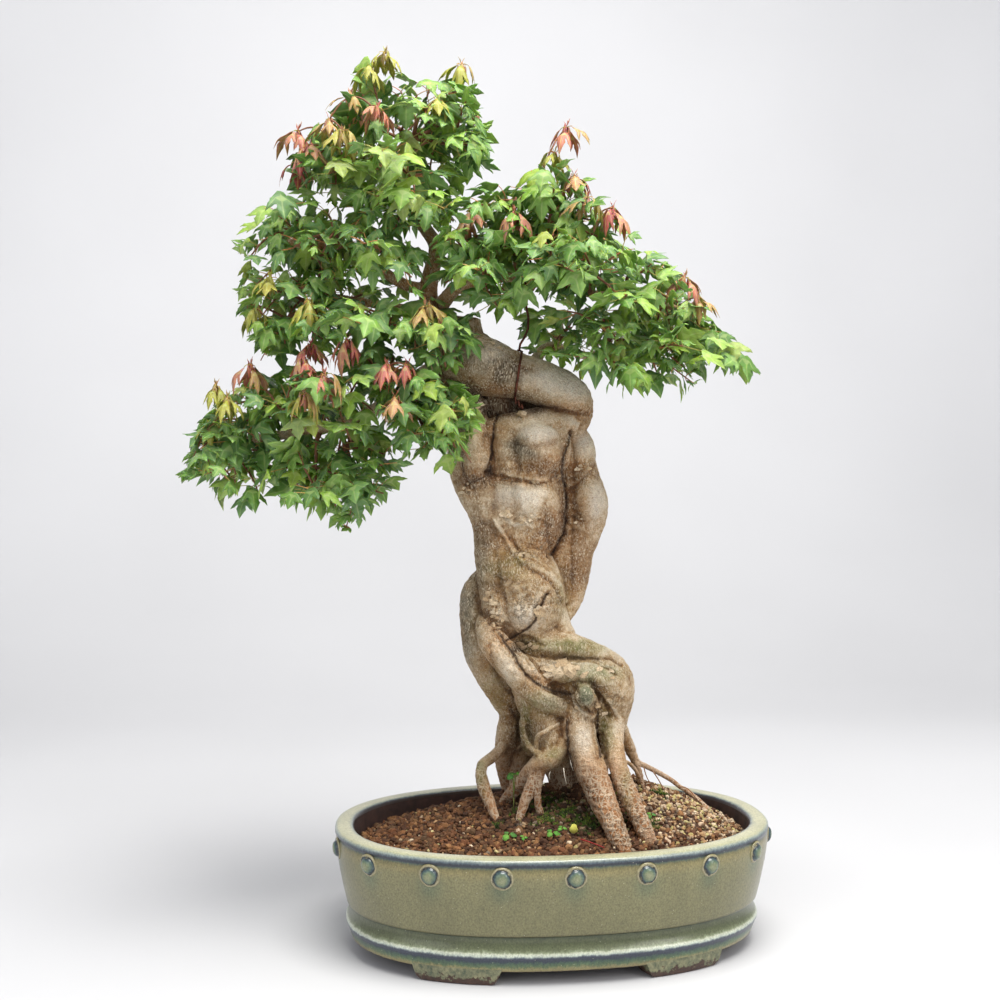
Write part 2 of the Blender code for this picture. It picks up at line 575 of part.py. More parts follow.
def leaf_shape(root, stalk, axis, normal, size, spread):
    """Points and triangles of one three-lobed blade with its stalk, as one closed solid."""
    axis = (axis - normal * axis.dot(normal)).normalized()
    side = axis.cross(normal)
    base = root + stalk
    half = STALK_WIDTH / 2 * MM
    way = stalk.normalized()
    flat = side.cross(way).normalized()
    hinge = (flat + normal).normalized()
    top = [root, base + side * half]
    for across, along, drop in LEAF_OUTLINE:
        top.append(base + (side * across * spread + axis * along - normal * drop) * size * MM)
    for across, along, drop in LEAF_OUTLINE[-2::-1]:
        top.append(base + (axis * along - side * across * spread - normal * drop) * size * MM)
    top.append(base - side * half)
    depths = [flat, hinge] + [normal] * (len(top) - 3) + [hinge]
    under = [point - depth * LEAF_THICK * MM for point, depth in zip(top, depths)]
    fan = [(0, 1, 7), (1, 2, 3), (1, 3, 4), (1, 4, 7), (7, 4, 5), (7, 5, 6)]
    count = len(top)
    faces = [tuple(face) for face in fan]
    faces += [tuple(count + i for i in reversed(face)) for face in fan]
    for i in range(count):
        j = (i + 1) % count
        faces.append((i, i + count, j + count))
        faces.append((i, j + count, j))
    return top + under, faces


def clear_of_root(points, root, stalk):
    """The blade a little larger, and without the end of its stalk that sits in the twig."""
    grown = [point + (point - root).normalized() * 0.6 * MM for point in points]
    sunk = stalk.normalized() * ROOT_SUNK * MM
    for i in (0, len(points) // 2):
        grown[i] = points[i] + sunk
    return grown


def shape_tree(points, faces):
    return BVHTree.FromPolygons([tuple(point) for point in points], faces)


class Canopy:
    """What is already placed, so that nothing that comes later crosses it."""

    def __init__(self, wood_tree):
        self.solid = [("wood", wood_tree)]

    def crosses(self, tree, skip=()):
        return any(tree.overlap(other) for owner, other in self.solid if owner not in skip)

    def add(self, owner, tree):
        self.solid.append((owner, tree))


def twig_points(start, end, sag, steps):
    """A twig from start to end, bowed by sag."""
    points = []
    for i in range(steps + 1):
        t = i / steps
        points.append(start.lerp(end, t) + sag * math.sin(math.pi * t))
    return points


def twig_tree(points, radius):
    """A box section round a twig, for testing what it crosses."""
    shape, faces = [], []
    for i, point in enumerate(points):
        ahead = (points[min(i + 1, len(points) - 1)] - points[max(i - 1, 0)]).normalized()
        one = ahead.orthogonal().normalized() * radius * MM
        two = ahead.cross(one)
        shape += [point + one, point + two, point - one, point - two]
    for i in range(len(points) - 1):
        for k in range(4):
            a, b = 4 * i + k, 4 * i + (k + 1) % 4
            faces.append((a, b, b + 4, a + 4))
    return shape_tree(shape, faces)


def seat_on(tree, inside, aim, radius):
    """The nearest start for a twig of this radius that leaves the wood towards aim."""
    ray = (aim - inside).normalized()
    hit, _, _, _ = tree.ray_cast(inside + ray * 0.03, -ray)
    start = (hit or inside) + ray * GAP * MM
    one = ray.orthogonal().normalized()
    two = ray.cross(one)
    for _ in range(60):
        rim = [start + (one * math.cos(a) + two * math.sin(a)) * radius * MM
               for a in turn_angles(8)]
        near = []
        for point in (start, *rim):
            place, normal, _, distance = tree.find_nearest(point)
            outside = (point - place).dot(normal) > 0
            near.append(distance if outside else -distance)
        if min(near) >= GAP * MM:
            return start
        start = start + ray * 0.1 * MM
    return start


def station_near(name, target):
    """The point of a branch's middle line from which a spray best reaches target."""
    route = smooth_route(BRANCHES[name], 8)
    return min((point for point, _ in route[len(route) // 4:]), key=lambda p: (p - target).length)


def leaf_at(rng, canopy, owner, place, ahead, turn, young):
    """A leaf on a twig at place, turned round the twig, that crosses nothing, or None."""
    up = Vector((0, 0, 1))
    one = ahead.cross(up).normalized()
    two = one.cross(ahead).normalized()
    droops, length, spread = DROOP, LEAF_LENGTH, 1.0
    if young:
        droops, length, spread = YOUNG_DROOP, YOUNG_LENGTH, YOUNG_SPREAD
    for attempt in range(TRIES):
        loose = 0.3 + 0.9 * attempt / TRIES
        angle = turn + rng.uniform(-loose, loose)
        around = one * math.cos(angle) + two * math.sin(angle)
        way = (around + ahead * rng.uniform(0.2, 0.9) + up * rng.uniform(0.0, 0.5)).normalized()
        stalk = way * STALK_LENGTH * rng.uniform(0.75, 1.35) * MM
        heading = Vector((way.x, way.y, 0.0))
        if heading.length < 0.25:
            heading = Vector((ahead.x, ahead.y, 0.0)) + one * rng.uniform(-1, 1)
        heading.normalize()
        droop = rng.uniform(*droops)
        axis = (heading - up * droop).normalized()
        lean = up.cross(heading) * rng.uniform(-0.5, 0.5)
        normal = up + heading * droop + lean
        normal = (normal - axis * normal.dot(axis)).normalized()
        size = length * rng.uniform(0.85, 1.15) * (1 - 0.25 * attempt / TRIES)
        root = place - way * STALK_SUNK * MM
        points, faces = leaf_shape(root, stalk, axis, normal, size, spread)
        tree = shape_tree(clear_of_root(points, root, stalk), faces)
        if not canopy.crosses(tree, skip=(owner + "_twig",)):
            canopy.add(owner, tree)
            return points, faces
    return None


def plan_twig(canopy, wood_tree, name, branch, middle, seed):
    """The twig of one spray, from the wood to the spray's middle."""
    rng = random.Random(seed)
    for attempt in range(TRIES):
        wander = Vector((rng.uniform(-1, 1), rng.uniform(-1, 1), rng.uniform(-1, 1))) * MM
        target = seen(*middle) + wander * 0.2 * attempt
        inside = station_near(branch, target + wander * (8 + 2 * attempt))
        base = seat_on(wood_tree, inside, target, TWIG_RADIUS)
        bow = Vector((rng.uniform(-1, 1), rng.uniform(-1, 1), rng.uniform(0, 1.4))) * 4 * MM
        start = base + (target - base).normalized() * 4 * MM
        twig = [base] + twig_points(start, target, bow, TWIG_STEPS)
        outer = twig_tree(twig[1:], TWIG_RADIUS + 0.6)
        if not canopy.crosses(outer):
            break
    canopy.add(name + "_twig", twig_tree(twig, TWIG_RADIUS + 0.3))
    return twig


def along(points, share):
    """The point at this share of a twig's length, and its direction there."""
    lengths = [(b - a).length for a, b in zip(points, points[1:])]
    left = share * sum(lengths)
    for a, b, length in zip(points, points[1:], lengths):
        if left <= length:
            break
        left -= length
    return a.lerp(b, min(1.0, left / length)), (b - a).normalized()


def plan_shoot(canopy, carrier, name, tip, seed):
    """A shoot that goes on from the tip of its carrier's twig, a hair apart."""
    rng = random.Random(seed)
    end = seen(*tip)
    ahead = (carrier[-1] - carrier[-2]).normalized()
    start = carrier[-1] + ahead * GAP * MM
    for _ in range(TRIES):
        bow = Vector((rng.uniform(-1, 1), rng.uniform(-1, 1), rng.uniform(-1, 1))) * 5 * MM
        shoot = [start] + twig_points(start + ahead * 5 * MM, end, bow, 2)
        if not canopy.crosses(twig_tree(shoot[1:], SHOOT_RADIUS + 0.6)):
            break
    canopy.add(name + "_twig", twig_tree(shoot, SHOOT_RADIUS + 0.3))
    return shoot


def build_spray(canopy, name, twig, young, seed, parts, cutters, finish):
    """One twig with its leaf at the tip and opposite pairs behind it, fused into one body."""
    rng = random.Random(seed)
    radius, count = (SHOOT_RADIUS, LEAVES_PER_SHOOT) if young else (TWIG_RADIUS, LEAVES_PER_SPRAY)
    radii = [radius * (1 - 0.35 * i / len(twig)) for i in range(len(twig))]
    stem = tube(name + "_stem", [list(zip(twig, radii))], cutters, sides=4)
    length = sum((b - a).length for a, b in zip(twig, twig[1:]))
    leaves = []
    for number in range(count):
        pair, half = (number + 1) // 2, number % 2
        turn = pair * math.pi / 2 + half * math.pi + rng.uniform(-0.3, 0.3)
        back = (pair * PAIR_SPACING + half * 2.5 + 1.0) * MM
        place, ahead = along(twig, max(0.12, 1 - back / length))
        made = leaf_at(rng, canopy, name, place, ahead, turn, young)
        if made:
            leaves.append(add_mesh("leaf", *made, cutters))
    grown = len(leaves)
    spray = combine(stem, leaves, "UNION", name, parts, solver="MANIFOLD")
    spray.data.materials.clear()
    spray.data.materials.append(finish)
    return grown


def set_origin(parts):
    """Moves the finished model so that the middle of its box's underside is the origin."""
    corners = [item.matrix_world @ Vector(corner) for item in parts.objects
               for corner in item.bound_box]
    low = [min(corner[i] for corner in corners) for i in range(3)]
    high = [max(corner[i] for corner in corners) for i in range(3)]
    shift = Vector(((low[0] + high[0]) / 2, (low[1] + high[1]) / 2, low[2]))
    for item in parts.objects:
        item.location -= shift


def main():
    empty_file()
    parts = new_collection("trident_maple_bonsai")
    cutters = new_collection("shaping")
    glaze = material("celadon_glaze", (0.25, 0.24, 0.15), 0.25)
    bark = material("bark", (0.33, 0.25, 0.16), 0.8)
    earth = material("akadama_soil", (0.17, 0.09, 0.05), 0.95)
    plastic = material("black_plastic", (0.02, 0.02, 0.02), 0.5)
    copper = material("dark_copper", (0.16, 0.06, 0.04), 0.4, 1.0)
    green = material("leaf_green", (0.10, 0.22, 0.05), 0.5)
    red = material("leaf_young", (0.45, 0.16, 0.10), 0.5)
    build_pot(parts, cutters, glaze)
    build_screens(parts, cutters, plastic)
    build_soil(parts, cutters, earth)
    wood = build_wood(parts, cutters, bark)
    wood_tree = tree_of(wood)
    wire = build_wire(wood_tree, parts, copper)
    canopy = Canopy(wood_tree)
    canopy.add("guy_wire", tree_of(wire))
    twigs = {}
    for pad, sprays in SPRAYS.items():
        for number, (branch, middle) in enumerate(sprays, 1):
            name = pad + "_" + str(number)
            seed = SEED + 100 * len(twigs)
            twigs[name] = plan_twig(canopy, wood_tree, name, branch, middle, seed)
    shoots = {}
    for number, (carrier, tip) in enumerate(SHOOTS, 1):
        name = "young_shoot_" + str(number)
        shoots[name] = plan_shoot(canopy, twigs[carrier], name, tip, SEED + number)
    leaves = 0
    for number, (name, shoot) in enumerate(shoots.items()):
        leaves += build_spray(canopy, name, shoot, True, SEED + 50 + number, parts, cutters, red)
    for number, (name, twig) in enumerate(twigs.items()):
        leaves += build_spray(canopy, name, twig, False, SEED + 7 + number, parts, cutters, green)
    print("leaves", leaves)
    bpy.context.view_layer.update()
    set_origin(parts)


main()
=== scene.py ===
"""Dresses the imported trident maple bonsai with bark, leaves, soil and glaze. Metres, +Z up.

A station is (x, z, y, r) in millimetres: x and z are read off the upright plane through the
pot's middle as seen from the front, y is the depth behind that plane and r is a radius.
"""
import json
import math
import random

import bmesh
import bpy
import numpy as np
from mathutils import Matrix, Vector, noise
from mathutils.bvhtree import BVHTree
from mathutils.geometry import delaunay_2d_cdt

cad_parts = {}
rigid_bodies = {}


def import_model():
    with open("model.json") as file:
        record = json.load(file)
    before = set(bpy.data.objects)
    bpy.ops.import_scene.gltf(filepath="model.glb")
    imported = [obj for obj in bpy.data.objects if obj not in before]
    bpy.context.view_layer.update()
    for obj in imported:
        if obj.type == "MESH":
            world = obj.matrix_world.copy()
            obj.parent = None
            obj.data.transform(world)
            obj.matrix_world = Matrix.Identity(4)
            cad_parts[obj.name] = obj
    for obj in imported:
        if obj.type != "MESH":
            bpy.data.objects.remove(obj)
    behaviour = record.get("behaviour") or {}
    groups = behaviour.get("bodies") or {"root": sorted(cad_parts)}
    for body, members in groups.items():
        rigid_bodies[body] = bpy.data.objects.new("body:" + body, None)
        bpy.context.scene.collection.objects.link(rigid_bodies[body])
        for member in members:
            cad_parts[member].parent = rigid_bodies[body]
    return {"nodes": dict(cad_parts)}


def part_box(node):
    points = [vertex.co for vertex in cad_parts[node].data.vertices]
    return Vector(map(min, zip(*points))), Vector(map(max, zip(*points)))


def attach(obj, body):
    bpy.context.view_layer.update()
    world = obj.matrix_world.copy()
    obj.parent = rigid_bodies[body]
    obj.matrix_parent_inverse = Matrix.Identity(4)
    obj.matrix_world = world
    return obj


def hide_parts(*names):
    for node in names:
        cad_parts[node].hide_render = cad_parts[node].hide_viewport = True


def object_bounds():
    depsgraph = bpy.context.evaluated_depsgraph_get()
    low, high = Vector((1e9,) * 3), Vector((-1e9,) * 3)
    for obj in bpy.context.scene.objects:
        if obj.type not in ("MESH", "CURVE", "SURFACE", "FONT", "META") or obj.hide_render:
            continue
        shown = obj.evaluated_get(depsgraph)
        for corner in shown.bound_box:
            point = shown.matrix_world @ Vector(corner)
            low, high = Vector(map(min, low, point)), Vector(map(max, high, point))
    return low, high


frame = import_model()
cad_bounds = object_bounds()

MM = 0.001
# The front viewpoint: where it meets the middle plane, and its distance from it in mm.
VIEW_X, VIEW_Z, VIEW_DISTANCE = -54.4, 494.5, 1400.0
# The pot's turn and the camera's tilt in radians, and the lens in mm.
POT_TURN, CAMERA_TILT, LENS = 0.1268, 0.0305, 48.6
# The pot in mm. A roundness of 2 makes an ellipse, and more is squarer.
POT_LENGTH, POT_WIDTH, POT_ROUNDNESS = 450.0, 305.2, 2.285
FLOOR_TOP, LIP_WIDTH, WALL_AT_FLOOR, SCREEN_UNDERSIDE = 20.0, 19.7, 26.0, 20.3
STUD_COUNT, STUD_INSET, STUD_HEIGHT = 18, 0.9, 103.0
# Where the front studs stand, in mm along the outline.
STUD_START, STUD_FRONT_SPACING, STUD_FRONT_COUNT = 635.5, 69.4, 9
# Half the angle that a foot takes up, and the angle of its middle.
FOOT_REACH, FOOT_ANGLE = 0.245, 1.04
DRAIN_RADIUS, DRAIN_X = 14.0, 95.0
# The soil in mm: its height at the edge, the rise of its mound and where that has its top.
SOIL_EDGE, SOIL_RISE, MOUND_X, MOUND_Y, MOUND_POWER = 96.0, 58.0, 78.0, 38.0, 0.95
# How far the mound slopes down to each side, in mm.
MOUND_LEFT, MOUND_RIGHT, MOUND_FRONT, MOUND_BACK = 300.0, 185.0, 178.0, 150.0
# The share of the outline at which the mound has run out is one over this.
EDGE_FALL = 1.12
BARK_VOXEL, QUICK_VOXEL, BARK_TRIANGLES = 1.3, 2.2, 188000
# How far the twigs of a spray reach in mm, and their number.
SPRAY_SPREAD, SPRAY_TWIGS = 46, 5
# Leaf blades in mm: shortest, longest and usual.
LEAF_SIZE, SMALL_LEAF_SIZE = (11, 34, 20), (8, 22, 13)
# Room round a blade, way between the pairs of a stem and thickness of a blade, in mm.
LEAF_ROOM, LEAF_SPACING, BLADE_THICKNESS = 8.8, 11, 0.3
# Where a blade's side veins start and how wide its veins are, in blade lengths.
VEIN_START, VEIN_WIDTH = 0.02, 0.05
# Places tried for each blade and for each twig, the blades of a bunch and their room to wood in mm.
LEAF_TRIES, TWIG_TRIES, BUNCH_LEAVES, WOOD_ROOM = 9, 14, 10, 8
# How far glaze has run down from a stud, in mm.
RUN_LENGTH = 11
# The pot is bare clay inside between these heights, and under it below this height and inset, in mm.
CLAY_INSIDE, CLAY_UNDER, CLAY_INSET = (15, 117.5), 11, 17.5
# The bark is ringed, damp, reddish and paler below these heights, each with its fade, in mm.
RINGED, DAMP, REDDISH, PALER = (215, 50), (190, 90), (200, 50), (230, 60)
# The rings lie right of this, and from this height up, with its fade, the wood is branches, in mm.
RINGED_RIGHT_OF, BRANCHES_FROM = 18, (632, 20)
# The strength behind of a stain or of painted light drawn from the front, and the share of triangles kept
# there.
BEHIND, KEPT_BEHIND = 0.25, 0.25


def middle(node):
    low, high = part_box(node)
    return (low + high) / 2


SHIFT = (middle("drain_screen_left") + middle("drain_screen_right")) / 2
SHIFT.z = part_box("drain_screen_left")[0].z - SCREEN_UNDERSIDE * MM

# Stations along the stems and roots that have grown together into the trunk.
TRUNK = {
    "left flank": (
        (-101, 604, 10, 22), (-97, 575, 10, 22), (-92, 545, 8, 21), (-86, 517, 2, 23),
        (-84, 492, -4, 26), (-78, 468, -2, 24), (-68, 446, 0, 22), (-62, 425, 2, 20.5),
        (-60, 400, 2, 21.5), (-58, 380, 0, 22), (-56, 358, -4, 21), (-54, 342, -8, 20),
        (-48, 326, -10, 17),
    ),
    "chest": (
        (-25, 524, 0, 20), (-18, 506, -9, 28), (-15, 490, -8, 28), (-18, 468, -4, 30),
        (-17, 448, -4, 31), (-19, 425, -2, 31), (-28, 405, 0, 29), (-29, 388, -2, 32),
        (-25, 368, -4, 35), (-21, 350, -6, 34), (-22, 335, -6, 32), (-26, 318, -4, 26),
    ),
    "core": (
        (-55, 525, 8, 20), (-50, 500, 8, 28), (-45, 470, 8, 32), (-42, 440, 8, 34),
        (-42, 410, 8, 32), (-42, 380, 8, 34), (-42, 350, 6, 34), (-45, 325, 4, 30),
        (-40, 300, 2, 24),
    ),
    "stump": ((-96, 598, 6, 30), (-95, 618, 6, 25), (-94, 640, 6, 20)),
    "limb": (
        (-104, 612, 8, 24), (-95, 600, 2, 33), (-75, 592, -4, 31), (-50, 584, -6, 26),
        (-25, 577, -6, 23.5), (-5, 571, -4, 23), (12, 564, 0, 21.5), (24, 553, 6, 18.5),
        (28, 540, 10, 14), (24, 526, 14, 11), (18, 512, 16, 9),
    ),
    "back of the hollow": (
        (-92, 548, 24, 16), (-62, 541, 28, 16), (-25, 541, 28, 16), (10, 540, 22, 15),
    ),
    "right stem": (
        (20, 530, 20, 9), (27, 508, 22, 16), (29, 490, 22, 16.5), (32, 472, 20, 18.5),
        (36, 452, 18, 22), (36, 436, 18, 21.5), (31, 416, 18, 19), (25, 398, 18, 18),
        (24, 378, 18, 15), (23, 360, 16, 11.5), (20, 345, 12, 9), (12, 332, 6, 8), (0, 322, 2, 8),
    ),
    "left stem": (
        (-62, 378, 16, 9), (-72, 370, 14, 12), (-80, 355, 14, 15.5), (-80, 335, 14, 17.5),
        (-77, 312, 14, 19), (-71, 290, 14, 19.5), (-62, 268, 14, 17.5), (-50, 246, 18, 14.5),
        (-43, 228, 24, 12), (-46, 206, 32, 13), (-49, 186, 42, 11.5), (-47, 166, 54, 9),
        (-44, 148, 66, 7.5), (-42, 130, 72, 6.5),
    ),
    "arm root": (
        (-70, 330, 0, 9), (-67, 317, -16, 13), (-59, 301, -29, 15.5), (-46, 284, -33, 16),
        (-31, 268, -33, 16), (-17, 254, -29, 15), (-4, 244, -24, 14), (10, 237, -17, 13.5),
        (22, 228, -12, 13), (30, 214, -14, 11),
    ),
    "seam": (
        (12, 520, 16, 12), (10, 495, 14, 13), (12, 465, 14, 14), (14, 440, 14, 14),
        (12, 415, 14, 14), (6, 390, 10, 16), (9, 366, 12, 13), (11, 344, 10, 11),
    ),
    "back of the hip": ((-52, 318, 14, 20), (-36, 292, 16, 18), (-14, 270, 14, 18)),
    "back left leg": (
        (-18, 256, 18, 18), (-24, 218, 32, 14), (-27, 184, 46, 11), (-25, 154, 58, 9),
        (-23, 130, 64, 8),
    ),
    "back right leg": (
        (38, 240, 20, 18), (45, 204, 36, 13), (48, 178, 46, 10.5), (50, 156, 52, 9),
        (51, 136, 55, 8),
    ),
    "belly side": ((-4, 356, -4, 14), (2, 336, -4, 12.5), (7, 318, -4, 12.5), (14, 304, -6, 12)),
    "upper hip": (
        (-20, 318, -6, 22), (-5, 305, -10, 18), (12, 298, -12, 16), (30, 294, -12, 15),
        (48, 287, -8, 15.5), (62, 275, -2, 16.5), (68, 262, 4, 16.5), (69, 246, 6, 15.5),
        (68, 230, 6, 12.5), (67, 218, 6, 10),
    ),
    "lower hip": (
        (-28, 288, -10, 12), (-8, 278, -18, 14), (14, 272, -22, 15), (34, 268, -22, 15),
        (50, 262, -14, 15), (59, 250, -8, 16), (65, 236, -2, 15.5), (66, 220, 4, 12),
    ),
    "pelvis": (
        (-10, 290, 10, 26), (15, 275, 8, 28), (38, 262, 6, 28), (45, 245, 4, 27), (42, 228, 2, 25),
        (38, 212, 0, 20),
    ),
    "middle mass": (
        (-20, 262, 0, 24), (-14, 240, -6, 23), (-8, 222, -10, 20), (-3, 206, -12, 17),
        (-4, 190, -15, 13),
    ),
    "front leg": (
        (34, 245, -12, 20), (28, 218, -20, 18), (32, 196, -28, 17), (40, 172, -40, 16),
        (50, 146, -54, 14), (60, 122, -66, 12), (69, 100, -75, 10.5), (78, 76, -82, 9),
    ),
    "second leg": (
        (58, 240, 0, 16), (61, 218, -6, 14), (64, 197, -16, 11), (69, 174, -30, 10),
        (77, 152, -42, 10), (85, 132, -53, 9.5), (94, 112, -61, 9), (104, 86, -68, 8),
    ),
    "green knob": ((28, 260, -24, 6), (32, 253, -34, 9), (37, 244, -35, 9), (43, 236, -26, 6)),
    "mossy knob": ((-95, 556, 4, 14), (-82, 552, -4, 9.5), (-70, 549, 4, 5)),
    "arch": (
        (24, 212, -12, 12), (8, 190, -20, 11), (-4, 182, -24, 11), (-14, 176, -22, 10),
        (-26, 164, -8, 8), (-38, 150, 8, 6), (-50, 136, 20, 4.6), (-60, 118, 26, 4),
    ),
    "dark root": (
        (20, 214, 0, 12), (28, 180, -10, 9), (38, 155, -24, 8), (50, 130, -38, 7.5),
        (62, 104, -50, 7),
    ),
    "middle finger": (
        (-10, 182, -22, 8), (-20, 156, -24, 6.5), (-27, 140, -24, 5.2), (-33, 122, -24, 4.6),
        (-37, 100, -26, 4.2),
    ),
    "right rear root": (
        (58, 236, 6, 9), (72, 212, 16, 7), (79, 197, 22, 6), (85, 182, 28, 5), (90, 168, 32, 4.6),
        (94, 152, 36, 4.2), (96, 134, 38, 3.8),
    ),
    "pale root": (
        (-44, 204, 28, 6), (-62, 184, 16, 5), (-73, 176, 4, 5.5), (-75, 168, 0, 5.5),
        (-72, 154, -6, 5.8), (-69, 144, -10, 6), (-63, 130, -16, 5), (-57, 114, -22, 4.4),
        (-54, 98, -26, 4),
    ),
    "green root": (
        (-26, 238, -12, 5), (-31, 214, -20, 4.5), (-27, 200, -24, 4.5), (-17, 189, -28, 4.2),
        (-3, 180, -24, 4),
    ),
}

# Masses that round out the trunk and close it behind its hollow and its legs.
BACKING = {
    "shoulders": (
        (-66, 518, 6, 16), (-44, 524, -4, 18), (-16, 529, -6, 18), (6, 531, 0, 16),
        (20, 529, 8, 13),
    ),
    "chest left": ((-46, 520, -6, 16), (-43, 502, -10, 19), (-40, 484, -9, 19), (-36, 470, -6, 18)),
    "chest right": ((2, 524, -4, 14), (2, 505, -8, 16), (0, 488, -8, 16)),
    "nape": ((12, 544, 10, 13), (20, 534, 12, 12)),
    "roof of the hollow": (
        (-98, 560, 26, 14), (-62, 557, 27, 14), (-26, 553, 26, 15), (4, 550, 22, 14),
    ),
    "groin": ((-46, 304, -4, 13), (-34, 294, -8, 14), (-18, 284, -10, 13)),
    "rear hip": ((-34, 204, 32, 14), (-8, 198, 34, 18), (16, 198, 34, 18), (40, 206, 28, 15)),
    "rear left leg": (
        (-22, 298, 6, 11), (-24, 268, 20, 13), (-33, 230, 36, 13), (-30, 190, 46, 11),
        (-38, 154, 54, 9), (-34, 122, 64, 7),
    ),
    "rear leg": (
        (2, 306, 6, 13), (-6, 270, 24, 16), (4, 228, 40, 16), (0, 186, 50, 14), (10, 150, 56, 12),
        (8, 112, 66, 9),
    ),
    "inner left leg": ((-34, 196, 38, 11), (-35, 160, 42, 9), (-36, 122, 48, 7)),
    "inner leg": ((4, 194, 32, 16), (9, 168, 38, 15), (12, 142, 46, 13), (14, 112, 54, 10)),
    "inner right leg": ((24, 194, 32, 13), (29, 166, 40, 12), (34, 144, 46, 10), (38, 118, 52, 8)),
    "rear right leg": (
        (34, 286, 8, 13), (24, 256, 26, 15), (30, 222, 40, 14), (28, 186, 48, 12),
        (38, 150, 54, 10), (42, 116, 62, 8),
    ),
    "knee": ((60, 266, -6, 16), (66, 252, -5, 17), (66, 238, -2, 16)),
    "back left": (
        (-94, 600, 6, 18), (-86, 576, 24, 17), (-76, 536, 31, 18), (-60, 488, 31, 19),
        (-64, 436, 27, 18), (-48, 386, 23, 17), (-44, 336, 14, 15), (-30, 300, 6, 11),
    ),
    "back middle": (
        (-44, 588, 2, 17), (-34, 562, 24, 17), (-18, 520, 33, 18), (-28, 470, 32, 19),
        (-12, 420, 29, 18), (-22, 370, 25, 18), (-8, 330, 19, 16), (6, 296, 12, 14),
    ),
    "back right": (
        (22, 560, 2, 12), (18, 536, 24, 14), (4, 496, 31, 16), (12, 446, 28, 15), (0, 400, 25, 15),
        (8, 356, 18, 12), (-2, 326, 12, 10),
    ),
    "back filling left": (
        (-56, 566, 16, 20), (-46, 510, 24, 23), (-46, 440, 22, 23), (-34, 374, 18, 21),
    ),
    "back filling right": (
        (-8, 556, 14, 19), (-6, 500, 22, 22), (-4, 440, 20, 21), (-8, 374, 16, 19),
    ),
    "hip seam": ((4, 262, -14, 12), (18, 256, -18, 12), (28, 246, -18, 12)),
}

# Roots that stand free of the trunk or creep over it.
FINE_ROOTS = {
    "near finger": (
        (-8, 182, -26, 5), (-14, 154, -28, 4), (-15, 136, -25, 3.8), (-12, 122, -22, 3.6),
        (-11, 100, -20, 3.4),
    ),
    "twig root": (
        (-16, 186, -24, 2.4), (-16, 203, -32, 2.4), (-6, 211, -32, 2.6), (6, 218, -20, 2.8),
    ),
    "long root": (
        (74, 206, 20, 3.4), (88, 180, 32, 3), (102, 172, 40, 2.8), (120, 162, 46, 2.6),
        (136, 151, 50, 2.4), (150, 141, 48, 2.2), (164, 128, 38, 2.1), (172, 117, 26, 2.1),
        (177, 100, 20, 2.1),
    ),
    "thin root": (
        (50, 184, -16, 2.4), (66, 183, -12, 2.2), (77, 179, 0, 2), (86, 171, 10, 2),
        (92, 160, 18, 2), (97, 146, 24, 2), (99, 130, 26, 2),
    ),
}

# Branches from where they leave the trunk to their tips.
BRANCHES = {
    "leader": (
        (-104, 618, 8, 15), (-116, 638, 8, 12), (-127, 654, 6, 10.5), (-128, 674, 4, 9.5),
        (-122, 700, 2, 8), (-121, 715, 0, 7.5), (-130, 730, 0, 7), (-143, 748, 0, 6.5),
        (-152, 775, 0, 5.5), (-152, 800, 0, 4.5), (-144, 824, 0, 3.6),
    ),
    "left branch": (
        (-124, 668, 5, 7), (-146, 672, -4, 6.2), (-158, 677, -6, 6), (-172, 686, -6, 5.6),
        (-188, 700, -4, 5.2), (-204, 713, 0, 4.8), (-226, 716, 0, 4.4), (-252, 714, 0, 4),
        (-276, 720, 0, 3.4),
    ),
    "inner left branch": (
        (-118, 644, 8, 7), (-145, 648, 10, 5.6), (-172, 652, 12, 5), (-200, 657, 12, 4.4),
        (-224, 660, 12, 3.8), (-250, 652, 12, 3.4),
    ),
    "right branch": (
        (-122, 648, 2, 9.5), (-112, 657, -6, 8), (-103, 668, -10, 7.4), (-84, 678, -8, 6.8),
        (-56, 682, -2, 6.2), (-26, 683, 0, 5.8), (2, 680, 0, 5.4), (20, 671, -2, 5),
        (44, 664, -4, 4.6), (70, 662, -2, 4.2), (98, 657, 0, 3.8), (128, 650, 0, 3.2),
    ),
    "low right branch": (
        (-16, 580, 6, 8), (-16, 598, 24, 6.4), (-4, 611, 28, 5.4), (14, 607, 22, 5),
        (36, 601, 14, 4.6), (62, 602, 6, 4.2), (92, 607, 2, 3.8), (122, 610, 0, 3.2),
    ),
    "low left branch": (
        (-96, 604, 0, 12), (-122, 590, -16, 8.5), (-150, 568, -22, 7.2), (-182, 546, -20, 6.4),
        (-216, 532, -14, 5.8), (-254, 524, -6, 5.2), (-290, 518, 0, 4.6), (-322, 514, 0, 3.6),
    ),
    "low left fork": (
        (-180, 548, -18, 5.6), (-196, 536, 8, 4.8), (-214, 530, 34, 4.2), (-234, 530, 54, 3.4),
    ),
    "crown fork": (
        (-140, 744, 0, 5.6), (-158, 758, 16, 4.8), (-172, 774, 34, 4.2), (-180, 786, 50, 3.4),
    ),
    "right fork": ((-30, 683, 0, 5.2), (-6, 690, 20, 4.6), (14, 694, 40, 4), (34, 694, 54, 3.4)),
}

